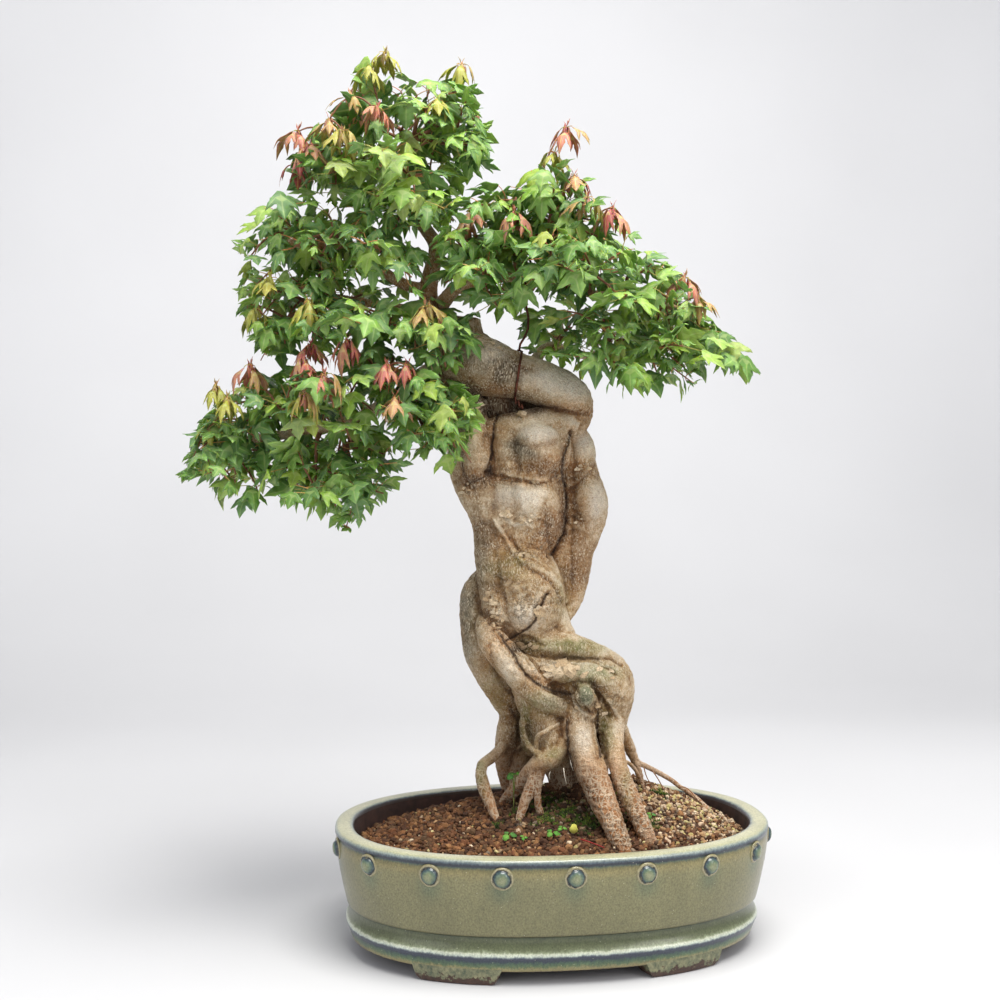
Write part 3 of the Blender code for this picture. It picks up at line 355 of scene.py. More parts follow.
# Cracks and folds in the bark, seen from the front: depth, half width, then (x, z) points.
# A negative depth is a raised ridge.
CREASES = (
    (3.2, 1.2, ((-57, 540), (-61, 530), (-62, 514), (-63, 500), (-64, 490), (-65, 482))),
    (3.0, 1.6, ((-90, 466), (-82, 470), (-74, 474), (-65, 480))),
    (1.9, 1.8, ((-64, 479), (-58, 477), (-46, 475), (-34, 471), (-18, 468), (-4, 471), (6, 476))),
    (-1.6, 1.5, ((-60, 481), (-46, 479), (-32, 474.5))),
    (1.8, 0.9, ((-29, 470.5), (-22, 469), (-14, 469), (-8, 470))),
    (-1.5, 1.2, ((-28, 474), (-20, 473), (-12, 473))),
    (2.6, 1.5, ((-96, 500), (-92, 478), (-86, 462))),
    (7.0, 2.4, ((19, 522), (15, 506), (11, 494), (9, 482), (12, 468), (14, 450), (13, 430),
                (10, 415), (3, 402), (-2, 394))),
    (2.2, 2.0, ((-14, 549), (6, 545), (24, 541), (38, 540))),
    (2.4, 2.4, ((16, 460), (24, 467), (36, 478), (45, 489))),
    (1.4, 1.2, ((-83, 424), (-72, 426), (-62, 424))),
    (-3.4, 2.6, ((-60, 430), (-49, 416), (-43, 404), (-38, 396), (-30, 386))),
    (-1.8, 2.6, ((-22, 384), (-10, 378), (2, 370), (10, 358), (14, 348))),
    (3.0, 1.4, ((-52, 424), (-44, 410), (-37, 402), (-30, 393))),
    (2.0, 1.6, ((-40, 512), (-30, 507), (-20, 506), (-8, 508), (2, 513))),
    (2.0, 1.2, ((-26, 380), (-14, 374), (-2, 366), (6, 354), (10, 344))),
    (-1.4, 2.2, ((-46, 430), (-38, 426), (-28, 428), (-20, 424))),
    (1.8, 2.2, ((-8, 446), (-6, 430), (-6, 414), (-2, 402))),
    (3.6, 1.4, ((-6, 354), (-11, 344), (-14, 335), (-17, 328), (-24, 319), (-36, 312), (-50, 304))),
    (-1.8, 2.4, ((-12, 354), (-18, 344), (-21, 335), (-26, 326))),
    (5.0, 3.0, ((-54, 311), (-49, 303), (-40, 290), (-32, 276), (-22, 265), (-10, 257), (5, 252),
                (20, 249))),
    (3.0, 1.6, ((-34, 294), (-20, 290), (0, 288), (20, 287), (44, 286), (60, 286), (72, 279))),
    (-1.5, 1.4, ((20, 282), (44, 280), (62, 278), (76, 266))),
    (2.6, 1.2, ((-18, 268), (-4, 260), (12, 257), (26, 262), (40, 262), (49, 254))),
    (2.6, 1.0, ((25, 258), (26, 248), (31, 238), (40, 230), (47, 235), (47, 247), (43, 257))),
    (1.8, 1.1, ((-10, 300), (-18, 306), (-30, 306))),
    (-2.6, 1.5, ((19, 254), (23, 240), (32, 230), (42, 224), (50, 230), (51, 244))),
    (-2.2, 1.8, ((46, 256), (56, 246), (64, 234), (72, 222))),
    (2.4, 1.6, ((40, 262), (50, 250), (56, 238), (60, 226))),
    (4.0, 2.0, ((48, 238), (47, 220), (48, 200), (50, 184))),
    (3.4, 2.0, ((16, 222), (15, 206), (17, 190), (21, 174))),
    (2.6, 1.8, ((-44, 236), (-36, 222), (-34, 206), (-33, 190))),
    (2.6, 2.4, ((-80, 352), (-77, 340), (-70, 328), (-60, 318), (-50, 308))),
    (2.0, 1.6, ((-66, 300), (-62, 280), (-52, 262), (-44, 250))),
    (1.2, 1.0, ((-40, 612), (-36, 600), (-38, 586))),
    (1.6, 1.0, ((-31, 588), (-26, 585), (-21, 588))),
    (1.4, 1.2, ((-70, 520), (-74, 506), (-74, 492), (-80, 480))),
    (1.0, 0.9, ((-64, 418), (-52, 412), (-40, 410))),
    (1.4, 1.0, ((-58, 372), (-44, 366), (-30, 366))),
    (-1.4, 1.6, ((17, 430), (24, 424), (32, 422))),
)

# Bulges and hollows of the bark, seen from the front: x, z, half width, half height, rise.
SWELLS = (
    (-14, 514, 18, 14, 8.5), (-20, 500, 16, 14, 2.0), (-41, 502, 6, 12, -2.5), (-50, 506, 10, 20, 3.0),
    (-80, 502, 12, 22, 3.5), (-38, 460, 18, 13, 4.5), (-12, 450, 13, 18, 3.5), (3, 434, 8, 24, 3.5),
    (-62, 446, 10, 12, -2.0), (-14, 402, 14, 12, 2.0), (-26, 366, 24, 18, 3.0), (-48, 388, 10, 16, 2.0),
    (-36, 334, 16, 13, 3.0), (30, 498, 12, 12, 4.0), (36, 454, 14, 20, 3.5), (35, 479, 5, 4, 3.0),
    (-72, 596, 22, 16, 3.0), (8, 562, 16, 12, 3.0), (-38, 580, 8, 30, -1.5), (-65, 481, 4, 5, -4.0),
    (0, 268, 14, 10, 2.0), (60, 262, 14, 16, 3.0), (30, 200, 10, 22, 2.0), (-66, 300, 8, 24, 2.0),
    (-17, 338, 4, 4, -2.5), (-3, 494, 12, 10, 6.0), (-37, 297, 6, 6, -5.0), (-26, 291, 6, 5, 2.0),
    (2, 298, 20, 8, 2.0), (-60, 362, 12, 10, -3.0), (-40, 300, 8, 8, 3.0), (14, 530, 14, 10, 2.5),
)

# Patches of bark colour by kind, stains and painted light alike, seen from the front: x, z, half width,
# half height, strength.
STAINS_AND_PAINTED_LIGHT = {
    # Pale bark; on the chest's top, under the chest, on the right stem and on the limb's right end these
    # patches also stand for the light falling there: painted highlight.
    "pale": (
        (-22, 524, 20, 10, 1.0), (-66, 600, 22, 12, 0.8), (-42, 462, 20, 12, 0.9),
        (-20, 446, 14, 16, 0.7), (2, 272, 24, 12, 0.7), (36, 190, 10, 34, 0.6), (-24, 330, 12, 12, 0.7),
        (20, 572, 22, 8, 1.1), (30, 508, 12, 10, 1.0), (44, 450, 10, 20, 0.8), (60, 268, 16, 12, 0.5),
        (-30, 378, 16, 10, 0.5), (-56, 300, 8, 26, 0.6), (12, 330, 8, 16, 0.6), (-52, 432, 8, 8, 0.8),
        (-8, 471, 20, 4, 0.9), (-90, 470, 10, 30, 0.3), (-42, 479, 24, 4, 0.8), (-34, 326, 20, 14, 0.8),
        (26, 562, 14, 14, 0.9), (0, 580, 26, 8, 0.7), (48, 222, 8, 30, 0.5), (-44, 280, 12, 20, 0.5),
    ),
    "warm": (
        (-44, 384, 30, 20, 0.7), (44, 140, 24, 46, 1.0), (-50, 562, 60, 9, 0.9), (-30, 400, 34, 14, 0.8),
        (-64, 290, 14, 40, 0.55), (-20, 160, 40, 40, 0.8), (-8, 492, 20, 12, 1.0), (30, 390, 16, 60, 0.7),
        (0, 262, 16, 10, 0.6), (-46, 545, 14, 8, 0.6), (78, 190, 10, 30, 0.9), (90, 140, 14, 30, 0.9),
        (-44, 303, 8, 6, 0.8), (4, 432, 9, 22, 0.9), (26, 488, 12, 10, 0.9), (-58, 500, 10, 26, 0.7),
        (-78, 476, 20, 10, 0.6), (-76, 420, 8, 10, 0.8), (20, 548, 24, 8, 0.7),
    ),
    "green": (
        (-44, 380, 30, 20, 0.4), (22, 300, 30, 7, 1.3), (55, 212, 8, 26, 1.1), (-78, 553, 14, 8, 0.8),
        (-28, 212, 9, 26, 1.1), (0, 184, 20, 12, 0.8), (-76, 168, 9, 30, 1.0), (-6, 240, 20, 14, 0.6),
        (78, 150, 7, 30, 0.7), (-60, 250, 16, 30, 0.45), (50, 272, 24, 8, 0.8), (-4, 562, 34, 10, 0.35),
        (30, 264, 22, 12, 0.6), (-26, 300, 14, 10, 0.7), (-36, 392, 14, 10, 0.4), (10, 350, 8, 22, 0.5),
        (-84, 330, 8, 30, 0.3), (-60, 380, 16, 12, 0.3),
    ),
    # Painted shade: darkening in the hollow under the limb, on the limb's lower left, in pits and
    # creases, under the chest's bulge and between the legs.
    "dark": (
        (-8, 490, 14, 8, 0.3), (-65, 481, 5, 6, 1.2), (-37, 297, 6, 6, 1.2), (-60, 549, 40, 9, 1.3),
        (-84, 562, 16, 12, 0.8), (12, 460, 4, 52, 0.4), (0, 160, 34, 14, 0.5), (38, 150, 10, 24, 0.4),
        (-44, 588, 26, 12, 0.5), (-40, 190, 10, 30, 0.5), (20, 185, 6, 26, 0.6), (-18, 546, 9, 5, 0.8),
        (-17, 338, 3, 4, 0.9), (-80, 470, 12, 8, 0.5), (24, 476, 9, 8, 0.4), (-90, 600, 14, 16, 0.4),
        (30, 400, 12, 40, 0.35), (-72, 412, 10, 12, 0.4), (2, 430, 8, 20, 0.35), (-54, 545, 36, 6, 0.8),
        (10, 240, 16, 6, 0.5), (-20, 210, 16, 18, 0.35),
    ),
    "sage": (
        (35, 248, 8, 10, 1.6), (24, 290, 34, 8, 0.4), (40, 272, 22, 10, 0.4), (-4, 240, 16, 10, 0.35),
    ),
    # A grey-green stain on the chest; down the left flank and on the limb's lower left it is also painted
    # shade.
    "grey_stain_and_shade": (
        (-38, 508, 12, 11, 1.0), (-22, 499, 13, 7, 0.7), (-60, 590, 24, 10, 0.5), (-50, 592, 18, 14, 0.9),
        (-30, 560, 22, 5, 0.5), (-84, 540, 10, 12, 0.6), (-90, 330, 12, 60, 0.9), (-72, 400, 12, 60, 0.6),
        (-46, 576, 18, 8, 0.7), (-94, 500, 10, 50, 0.5), (-44, 462, 10, 8, 0.4),
    ),
    # Painted highlight: near white where light falls on the limb's right end, the tops of the chest and
    # of other bulges, and the right stem.
    "painted_highlight": (
        (12, 573, 32, 14, 1.9), (31, 516, 8, 7, 0.8), (-14, 524, 16, 7, 0.8), (-46, 456, 16, 10, 0.7),
        (-20, 450, 12, 12, 0.6), (-44, 436, 26, 14, 0.5), (-32, 328, 22, 16, 0.5),
        (38, 272, 18, 10, 0.35), (-46, 270, 12, 22, 0.3), (-66, 606, 18, 8, 0.5), (46, 446, 6, 16, 0.5),
        (34, 206, 7, 14, 0.5),
    ),
    # Lilac-grey pale bark; on the chest's top, the right stem and the limb's right end it is also painted
    # highlight.
    "ash": (
        (-17, 520, 20, 8, 1.3), (-4, 510, 10, 8, 0.8), (-46, 454, 20, 12, 0.8), (31, 514, 9, 8, 1.1),
        (22, 572, 24, 9, 1.2), (34, 206, 9, 18, 1.0), (20, 500, 6, 8, 0.5), (-10, 583, 20, 6, 0.6),
        (44, 440, 9, 24, 0.7), (46, 452, 8, 18, 0.6), (-62, 604, 24, 8, 0.4), (4, 276, 16, 8, 0.4),
    ),
    "rough": (
        (-76, 472, 20, 10, 0.8), (-30, 470, 44, 5, 0.6), (-60, 330, 10, 22, 0.9), (-30, 340, 14, 16, 1.0),
        (-30, 302, 16, 12, 1.0), (-4, 275, 24, 12, 1.0), (34, 240, 22, 16, 0.8), (36, 538, 12, 10, 0.8),
        (-14, 344, 22, 12, 0.7), (-64, 616, 24, 14, 0.8), (56, 240, 14, 18, 0.7), (42, 486, 10, 12, 0.7),
        (-50, 492, 20, 14, 0.4), (-24, 396, 26, 16, 0.6), (40, 110, 24, 50, 0.8), (90, 110, 20, 50, 0.8),
        (-90, 640, 24, 16, 0.9), (28, 434, 14, 6, 0.6), (-32, 432, 22, 8, 0.7),
    ),
}

# Where the sprays of each pad grow to, after the name of the branch that carries them.
SPRAYS = {
    "crown": (
        ("leader", (-220, 796, -15), (-184, 836, -8), (-134, 858, 0), (-96, 816, -12), (-150, 790, -56)),
        ("crown fork", (-164, 806, 66)),
    ),
    "left": (
        ("left branch", (-290, 738, 0), (-226, 728, -34), (-228, 716, 46)),
        ("inner left branch", (-286, 668, -4), (-216, 646, -30), (-236, 664, 54)),
    ),
    "low_left": (
        ("low left branch", (-340, 530, -8), (-286, 552, -44), (-226, 562, -56), (-156, 562, -60),
         (-280, 494, 20), (-216, 490, -26)),
        ("low left fork", (-240, 546, 78)),
    ),
    "inner": (
        ("leader", (-150, 628, -42)),
    ),
    "right": (
        ("right branch", (-82, 716, -30), (-30, 742, -10), (30, 738, -14), (84, 690, -14), (0, 694, -60),
         (146, 632, -4)),
        ("low right branch", (52, 640, -42), (110, 604, -24)),
        ("right fork", (22, 706, 74)),
        ("low right branch", (92, 638, 50)),
    ),
}

# Stems that fill a pad between its sprays.
FILLERS = {
    "crown": (
        ("leader", (-172, 770, -30), (-240, 790, 30), (-196, 850, 20), (-76, 846, 10), (-134, 752, -42)),
    ),
    "left": (
        ("left branch", (-176, 706, -40)),
        ("inner left branch", (-170, 630, -50), (-290, 630, -10)),
        ("left branch", (-250, 700, 10)),
    ),
    "low_left": (
        ("low left branch", (-116, 540, -50), (-196, 454, 0), (-330, 490, 10), (-190, 590, -20),
         (-300, 570, 30), (-246, 460, -40), (-130, 516, -60), (-362, 486, -10), (-100, 506, -68)),
    ),
    "inner": (
        ("leader", (-112, 612, -50), (-112, 704, -46)),
    ),
    "right": (
        ("low right branch", (20, 630, 30)),
        ("right branch", (-64, 690, -56), (110, 650, 30), (-50, 700, 30)),
        ("low right branch", (60, 596, -50)),
        ("right branch", (40, 690, -70), (194, 598, -10), (-38, 764, -24), (0, 762, -34)),
    ),
}

# The spray that carries each young shoot of the CAD.
SHOOT_CARRIERS = ("crown_2", "crown_4", "right_3", "right_4", "low_left_1", "low_left_3")
# The edge of each pad of leaves as seen from the front, in mm.
PAD_EDGES = {
    "crown": (
        (-260, 771), (-271, 794), (-262, 820), (-240, 841), (-217, 853), (-200, 878), (-198, 900),
        (-180, 910), (-161, 894), (-137, 880), (-108, 886), (-87, 896), (-77, 873), (-79, 848),
        (-65, 812), (-61, 792), (-67, 769), (-81, 759), (-94, 741), (-110, 728), (-127, 720),
        (-145, 728), (-166, 722), (-188, 732), (-214, 743), (-242, 749),
    ),
    "left": (
        (-265, 766), (-300, 755), (-320, 728), (-325, 698), (-321, 658), (-315, 628), (-300, 609),
        (-272, 597), (-230, 590), (-189, 599), (-147, 597), (-111, 584), (-100, 612), (-104, 640),
        (-114, 664), (-129, 679), (-133, 698), (-127, 714), (-158, 732), (-188, 739), (-230, 753),
    ),
    "low_left": (
        (-380, 479), (-374, 506), (-359, 535), (-332, 572), (-301, 595), (-261, 607), (-215, 613),
        (-173, 605), (-137, 588), (-101, 578), (-85, 555), (-79, 530), (-94, 509), (-108, 483),
        (-125, 491), (-142, 504), (-156, 487), (-173, 457), (-193, 433), (-215, 419), (-239, 429),
        (-262, 431), (-285, 446), (-308, 454), (-333, 443), (-351, 460), (-366, 466),
    ),
    "inner": (
        (-153, 628), (-116, 640), (-85, 636), (-81, 612), (-94, 586), (-116, 576), (-145, 584),
        (-158, 607),
    ),
    "right": (
        (-127, 698), (-125, 720), (-114, 745), (-87, 763), (-63, 780), (-34, 786), (-13, 786),
        (-9, 812), (18, 829), (30, 804), (28, 777), (61, 747), (100, 710), (140, 673), (154, 640),
        (181, 619), (206, 590), (192, 586), (169, 599), (157, 595), (140, 566), (115, 578),
        (91, 557), (64, 570), (41, 572), (28, 601), (4, 595), (-13, 607), (-34, 605), (-46, 621),
        (-67, 636), (-87, 628), (-104, 640), (-112, 669),
    ),
}

# Bunches of young leaves as seen from the front: x, z, depth in mm and how yellow they are.
YOUNG = {
    "crown": (
        (-172, 902, -6, 0.9), (-94, 890, -6, 0.7), (-188, 886, -14, 0.95), (-262, 822, -8, 0.3),
        (-208, 858, -46, 0.4), (-250, 808, -34, 0.1), (-262, 790, -10, 0.0), (-180, 846, -64, 0.3),
        (-120, 852, -40, 0.8), (-230, 834, -54, 0.5), (-216, 822, -66, 0.7),
    ),
    "left": (
        (-252, 648, -60, 0.9), (-306, 640, -30, 0.8), (-132, 642, -66, 0.6), (-292, 672, -40, 0.9),
    ),
    "low_left": (
        (-313, 582, -34, 0.3), (-348, 560, -24, 0.8), (-258, 588, -62, 0.1), (-250, 602, -50, 0.15),
        (-212, 608, -62, 0.0), (-236, 572, -90, 0.3), (-258, 552, -96, 0.5), (-172, 582, -80, 0.1),
        (-150, 582, -80, 0.2), (-163, 548, -96, 0.3), (-356, 520, -10, 0.9), (-336, 548, -40, 0.9),
    ),
    "inner": ((-128, 640, -50, 0.7),),
    "right": (
        (14, 826, -18, 0.25), (2, 800, -18, 0.95), (62, 744, -40, 0.1), (137, 672, -30, 0.35),
        (22, 776, -40, 0.3), (36, 754, -54, 0.5), (-84, 738, -40, 0.4), (-40, 738, -50, 0.2),
        (150, 652, -30, 0.6),
    ),
}

# Thin shoots with small leaves that trail from the edge of a pad, as (x, z, y) in mm.
TENDRILS = {
    "right": (
        ((126, 640, -6), (156, 628, -8), (186, 608, -8), (211, 586, -8)),
        ((96, 600, -20), (122, 590, -24), (144, 574, -26)),
    ),
    "low_left": (
        ((-300, 560, -20), (-336, 548, -24), (-362, 520, -20), (-376, 488, -16)),
        ((-210, 480, -40), (-206, 450, -46), (-214, 424, -44)),
        ((-120, 540, -60), (-100, 516, -66), (-84, 490, -66)),
    ),
    "left": (
        ((-290, 690, 0), (-312, 668, -6), (-318, 636, -8)),
        ((-270, 640, -20), (-290, 618, -26), (-302, 596, -26)),
    ),
    "crown": (((-200, 820, -10), (-236, 812, -14), (-262, 786, -14)),),
}

# Every random choice starts from this number.
SEED = 5
# A crease deeper than this has a dark line of painted shade in it; its distance is stored up to the
# reach, in mm.
GROOVE_DEPTH, GROOVE_REACH = 3.1, 12.0


def seen(x, z, y=0.0):
    """The point at depth y that lines up with (x, z) of the middle plane."""
    near = (VIEW_DISTANCE + y) / VIEW_DISTANCE
    across = VIEW_X + (x - VIEW_X) * near
    height = VIEW_Z + (z - VIEW_Z) * near
    turn, tilt = math.cos(POT_TURN), math.sin(POT_TURN)
    place = Vector((across * turn + y * tilt, y * turn - across * tilt, height)) * MM
    return place + SHIFT


def front_places(points):
    """The (x, z, y) that seen would need for each row of points, in mm."""
    turn, tilt = math.cos(POT_TURN), math.sin(POT_TURN)
    local = (points - np.array(SHIFT)) / MM
    across = local[:, 0] * turn - local[:, 1] * tilt
    depth = local[:, 1] * turn + local[:, 0] * tilt
    near = (VIEW_DISTANCE + depth) / VIEW_DISTANCE
    return np.stack([VIEW_X + (across - VIEW_X) / near, VIEW_Z + (local[:, 2] - VIEW_Z) / near,
                     depth], axis=1)


def front_place(point):
    """The (x, z) that seen would need for one point, in mm."""
    x, z, _ = front_places(np.array([point]))[0]
    return x, z


def in_scene(name, data):
    item = bpy.data.objects.new(name, data)
    bpy.context.scene.collection.objects.link(item)
    return item


def new_mesh(name, points, faces, smooth=True):
    mesh = bpy.data.meshes.new(name)
    mesh.from_pydata([tuple(point) for point in points], [], faces)
    mesh.update()
    mesh.polygons.foreach_set("use_smooth", [smooth] * len(mesh.polygons))
    return in_scene(name, mesh)


def baked(item, name):
    """A mesh object of item as its modifiers leave it; item is removed."""
    evaluated = item.evaluated_get(bpy.context.evaluated_depsgraph_get())
    mesh = bpy.data.meshes.new_from_object(evaluated)
    place = item.matrix_world.copy()
    bpy.data.objects.remove(item, do_unlink=True)
    made = in_scene(name, mesh)
    made.matrix_world = place
    return made


def square(way, axis):
    """way turned so that it stands square to axis."""
    return (way - axis * way.dot(axis)).normalized()


def compass(angle):
    """The level direction at an angle."""
    return Vector((math.cos(angle), math.sin(angle), 0))


def smooth_route(stations, step):
    """Stations joined by one smooth curve, as (point, radius in mm), about step mm apart."""
    marks = [(seen(x, z, y), r) for x, z, y, r in stations]
    ends = [marks[0]] + marks + [marks[-1]]
    route = []
    for a, b, c, d in zip(ends, ends[1:], ends[2:], ends[3:]):
        pieces = max(1, round((c[0] - b[0]).length / (step * MM)))
        for i in range(pieces):
            t = i / pieces
            weights = ((-t + 2 * t * t - t ** 3) / 2, (2 - 5 * t * t + 3 * t ** 3) / 2,
                       (t + 4 * t * t - 3 * t ** 3) / 2, (t ** 3 - t * t) / 2)
            point = sum((w * m[0] for w, m in zip(weights, (a, b, c, d))), Vector())
            radius = sum(w * m[1] for w, m in zip(weights, (a, b, c, d)))
            route.append((point, radius))
    route.append(marks[-1])
    return route


def ring_faces(rings, sides):
    """Faces of a closed body made of rings of points, with sides points in each ring."""
    faces = []
    for ring in range(rings - 1):
        for k in range(sides):
            a, b = ring * sides + k, ring * sides + (k + 1) % sides
            faces.append((a, b, b + sides, a + sides))
    faces.append(tuple(range(sides))[::-1])
    faces.append(tuple(range((rings - 1) * sides, rings * sides)))
    return faces


def tube_mesh(route, sides):
    """Points and faces of a closed tube along (point, radius in mm) pairs."""
    points = []
    one = None
    for i, (point, radius) in enumerate(route):
        ahead = (route[min(i + 1, len(route) - 1)][0] - route[max(i - 1, 0)][0]).normalized()
        if one is None:
            one = ahead.orthogonal().normalized()
        one = square(one, ahead)
        two = ahead.cross(one)
        for k in range(sides):
            angle = 2 * math.pi * k / sides
            points.append(point + (one * math.cos(angle) + two * math.sin(angle)) * radius * MM)
    return points, ring_faces(len(route), sides)


def colour_layer(item, name, values):
    """Gives each point of item a colour, from rows of three numbers."""
    layer = item.data.color_attributes.new(name, "FLOAT_COLOR", "POINT")
    opaque = np.ones((len(values), 1))
    layer.data.foreach_set("color", np.hstack([values, opaque]).astype(np.float32).ravel())


class Pile:
    """Gathers many small shapes into one mesh, with a tint for each point."""

    def __init__(self):
        self.points, self.faces, self.tints = [], [], []

    def add(self, points, faces, tint):
        start = len(self.points)
        self.points.extend(points)
        self.faces.extend(tuple(start + i for i in face) for face in faces)
        self.tints.extend([tint] * len(points) if isinstance(tint, tuple) else tint)

    def tube(self, route, sides, tint):
        self.add(*tube_mesh(route, sides), tint)

    def make(self, name, finish, smooth=True):
        item = new_mesh(name, self.points, self.faces, smooth)
        colour_layer(item, "tint", np.array(self.tints))
        item.data.materials.append(finish)
        return item


def linear(colour):
    """A colour given as 0 to 255, as the renderer needs it."""
    out = []
    for value in colour:
        part = value / 255
        out.append(part / 12.92 if part <= 0.04045 else ((part + 0.055) / 1.055) ** 2.4)
    return tuple(out)


def lit(colour, bright):
    """A colour from 0 to 255, made brighter or darker."""
    return tuple(part * bright for part in linear(colour))


class Finish:
    """Builds one material out of nodes."""

    def __init__(self, name, roughness, **constants):
        self.material = bpy.data.materials.new(name)
        self.material.use_nodes = True
        self.tree = self.material.node_tree
        self.shader = self.tree.nodes["Principled BSDF"]
        self.shader.inputs["Roughness"].default_value = roughness
        for key, value in constants.items():
            self.shader.inputs[key.replace("_", " ")].default_value = value
        self.place = self.node("ShaderNodeTexCoord").outputs["Object"]

    def node(self, kind, inputs=None, **settings):
        made = self.tree.nodes.new(kind)
        for key, value in settings.items():
            setattr(made, key, value)
        for key, value in (inputs or {}).items():
            if isinstance(value, bpy.types.NodeSocket):
                self.tree.links.new(value, made.inputs[key])
            else:
                made.inputs[key].default_value = value
        return made

    def stretched(self, x, y, z):
        """Places scaled by these factors, so a pattern there shrinks along an axis above 1."""
        return self.node("ShaderNodeMapping", {"Vector": self.place, "Scale": (x, y, z)}).outputs[0]

    def warped(self, vector, size, reach):
        """vector pushed about by up to reach mm, in swirls of about size mm."""
        swirl = self.node("ShaderNodeTexNoise", {"Vector": self.place, "Scale": 1000 / size})
        made = self.node("ShaderNodeVectorMath",
                         {0: swirl.outputs["Color"], 1: (reach * MM,) * 3, 2: vector},
                         operation="MULTIPLY_ADD")
        return made.outputs["Vector"]

    def noise(self, size, detail=3.0, rough=0.55, vector=None):
        """Cloudy noise whose patches are about size mm across."""
        made = self.node("ShaderNodeTexNoise", {
            "Vector": vector or self.place, "Scale": 1000 / size, "Detail": detail,
            "Roughness": rough})
        return made.outputs["Fac"]

    def cells(self, size, vector=None, feature="F1"):
        """Distance inside cells about size mm across, from their middles or their edges."""
        made = self.node("ShaderNodeTexVoronoi", {"Vector": vector or self.place,
                                                  "Scale": 1000 / size}, feature=feature)
        return made.outputs["Distance"]

    def stops(self, factor, marks):
        """A ramp through (position, colour) marks."""
        made = self.node("ShaderNodeValToRGB", {"Fac": factor})
        elements = made.color_ramp.elements
        while len(elements) < len(marks):
            elements.new(0.5)
        for element, (position, colour) in zip(elements, marks):
            element.position = position
            element.color = (*colour, 1)
        return made.outputs["Color"]

    def ramp(self, factor, *marks):
        """Colours from 0 to 255 along a factor."""
        return self.stops(factor, [(position, linear(colour)) for position, colour in marks])

    def levels(self, factor, *marks):
        """Plain numbers along a factor."""
        return self.stops(factor, [(position, (value,) * 3) for position, value in marks])

    def mix(self, factor, first, second, blend="MIX"):
        """Colours are sockets, or tuples from 0 to 255."""
        ends = [value if isinstance(value, bpy.types.NodeSocket) else (*linear(value), 1)
                for value in (first, second)]
        made = self.node("ShaderNodeMix", {0: factor, 6: ends[0], 7: ends[1]},
                         data_type="RGBA", blend_type=blend)
        return made.outputs[2]

    def mottled(self, colour, texture, amount, *marks):
        """colour multiplied by the levels of a texture."""
        return self.mix(amount, colour, self.levels(texture, *marks), "MULTIPLY")

    def math(self, operation, first, second=0.0):
        return self.node("ShaderNodeMath", {0: first, 1: second}, operation=operation).outputs[0]

    def plus(self, first, second):
        return self.math("ADD", first, second)

    def minus(self, first, second):
        return self.math("SUBTRACT", first, second)

    def times(self, first, second):
        return self.math("MULTIPLY", first, second)

    def larger(self, first, second):
        return self.math("MAXIMUM", first, second)

    def sway(self, texture, reach):
        """A texture as a shift of up to half of reach to each side."""
        return self.times(self.minus(texture, 0.5), reach)

    def attribute(self, name):
        return self.node("ShaderNodeAttribute", attribute_name=name).outputs["Color"]

    def parts(self, name):
        """The three numbers of a point colour."""
        return self.node("ShaderNodeSeparateColor", {"Color": self.attribute(name)}).outputs[:3]

    def height(self):
        """Height above the ground in metres."""
        return self.node("ShaderNodeSeparateXYZ", {"Vector": self.place}).outputs["Z"]

    def done(self, colour, bump=None, depth=0.001, strength=1.0):
        """Links colour and bump to the shader; depth is in metres."""
        self.tree.links.new(colour, self.shader.inputs["Base Color"])
        if bump is not None:
            made = self.node("ShaderNodeBump", {"Height": bump, "Distance": depth,
                                                "Strength": strength})
            self.tree.links.new(made.outputs["Normal"], self.shader.inputs["Normal"])
        return self.material


def oval(inset, height, angle):
    """A point of the pot's rounded oval, inset mm inside its outline."""
    c, s = math.cos(angle), math.sin(angle)
    power = 2 / POT_ROUNDNESS
    x = (POT_LENGTH / 2 - inset) * math.copysign(abs(c) ** power, c)
    y = (POT_WIDTH / 2 - inset) * math.copysign(abs(s) ** power, s)
    return Vector((x, y, height)) * MM + SHIFT


def soil_height(x, y):
    """Height of the soil in mm at a point of the pot given in mm."""
    right = (x - MOUND_X) / (MOUND_RIGHT if x > MOUND_X else MOUND_LEFT)
    behind = (y - MOUND_Y) / (MOUND_BACK if y > MOUND_Y else MOUND_FRONT)
    mound = max(0.0, 1 - math.hypot(right, behind)) ** MOUND_POWER
    across, deep = abs(x) / (POT_LENGTH / 2), abs(y) / (POT_WIDTH / 2)
    outward = across ** POT_ROUNDNESS + deep ** POT_ROUNDNESS
    return SOIL_EDGE + SOIL_RISE * mound * max(0.0, 1 - (EDGE_FALL * outward) ** 3)


def on_soil(x, y, lift=0.0):
    """The point lift mm above the soil at a point of the pot given in mm."""
    return Vector((x, y, soil_height(x, y) + lift)) * MM + SHIFT


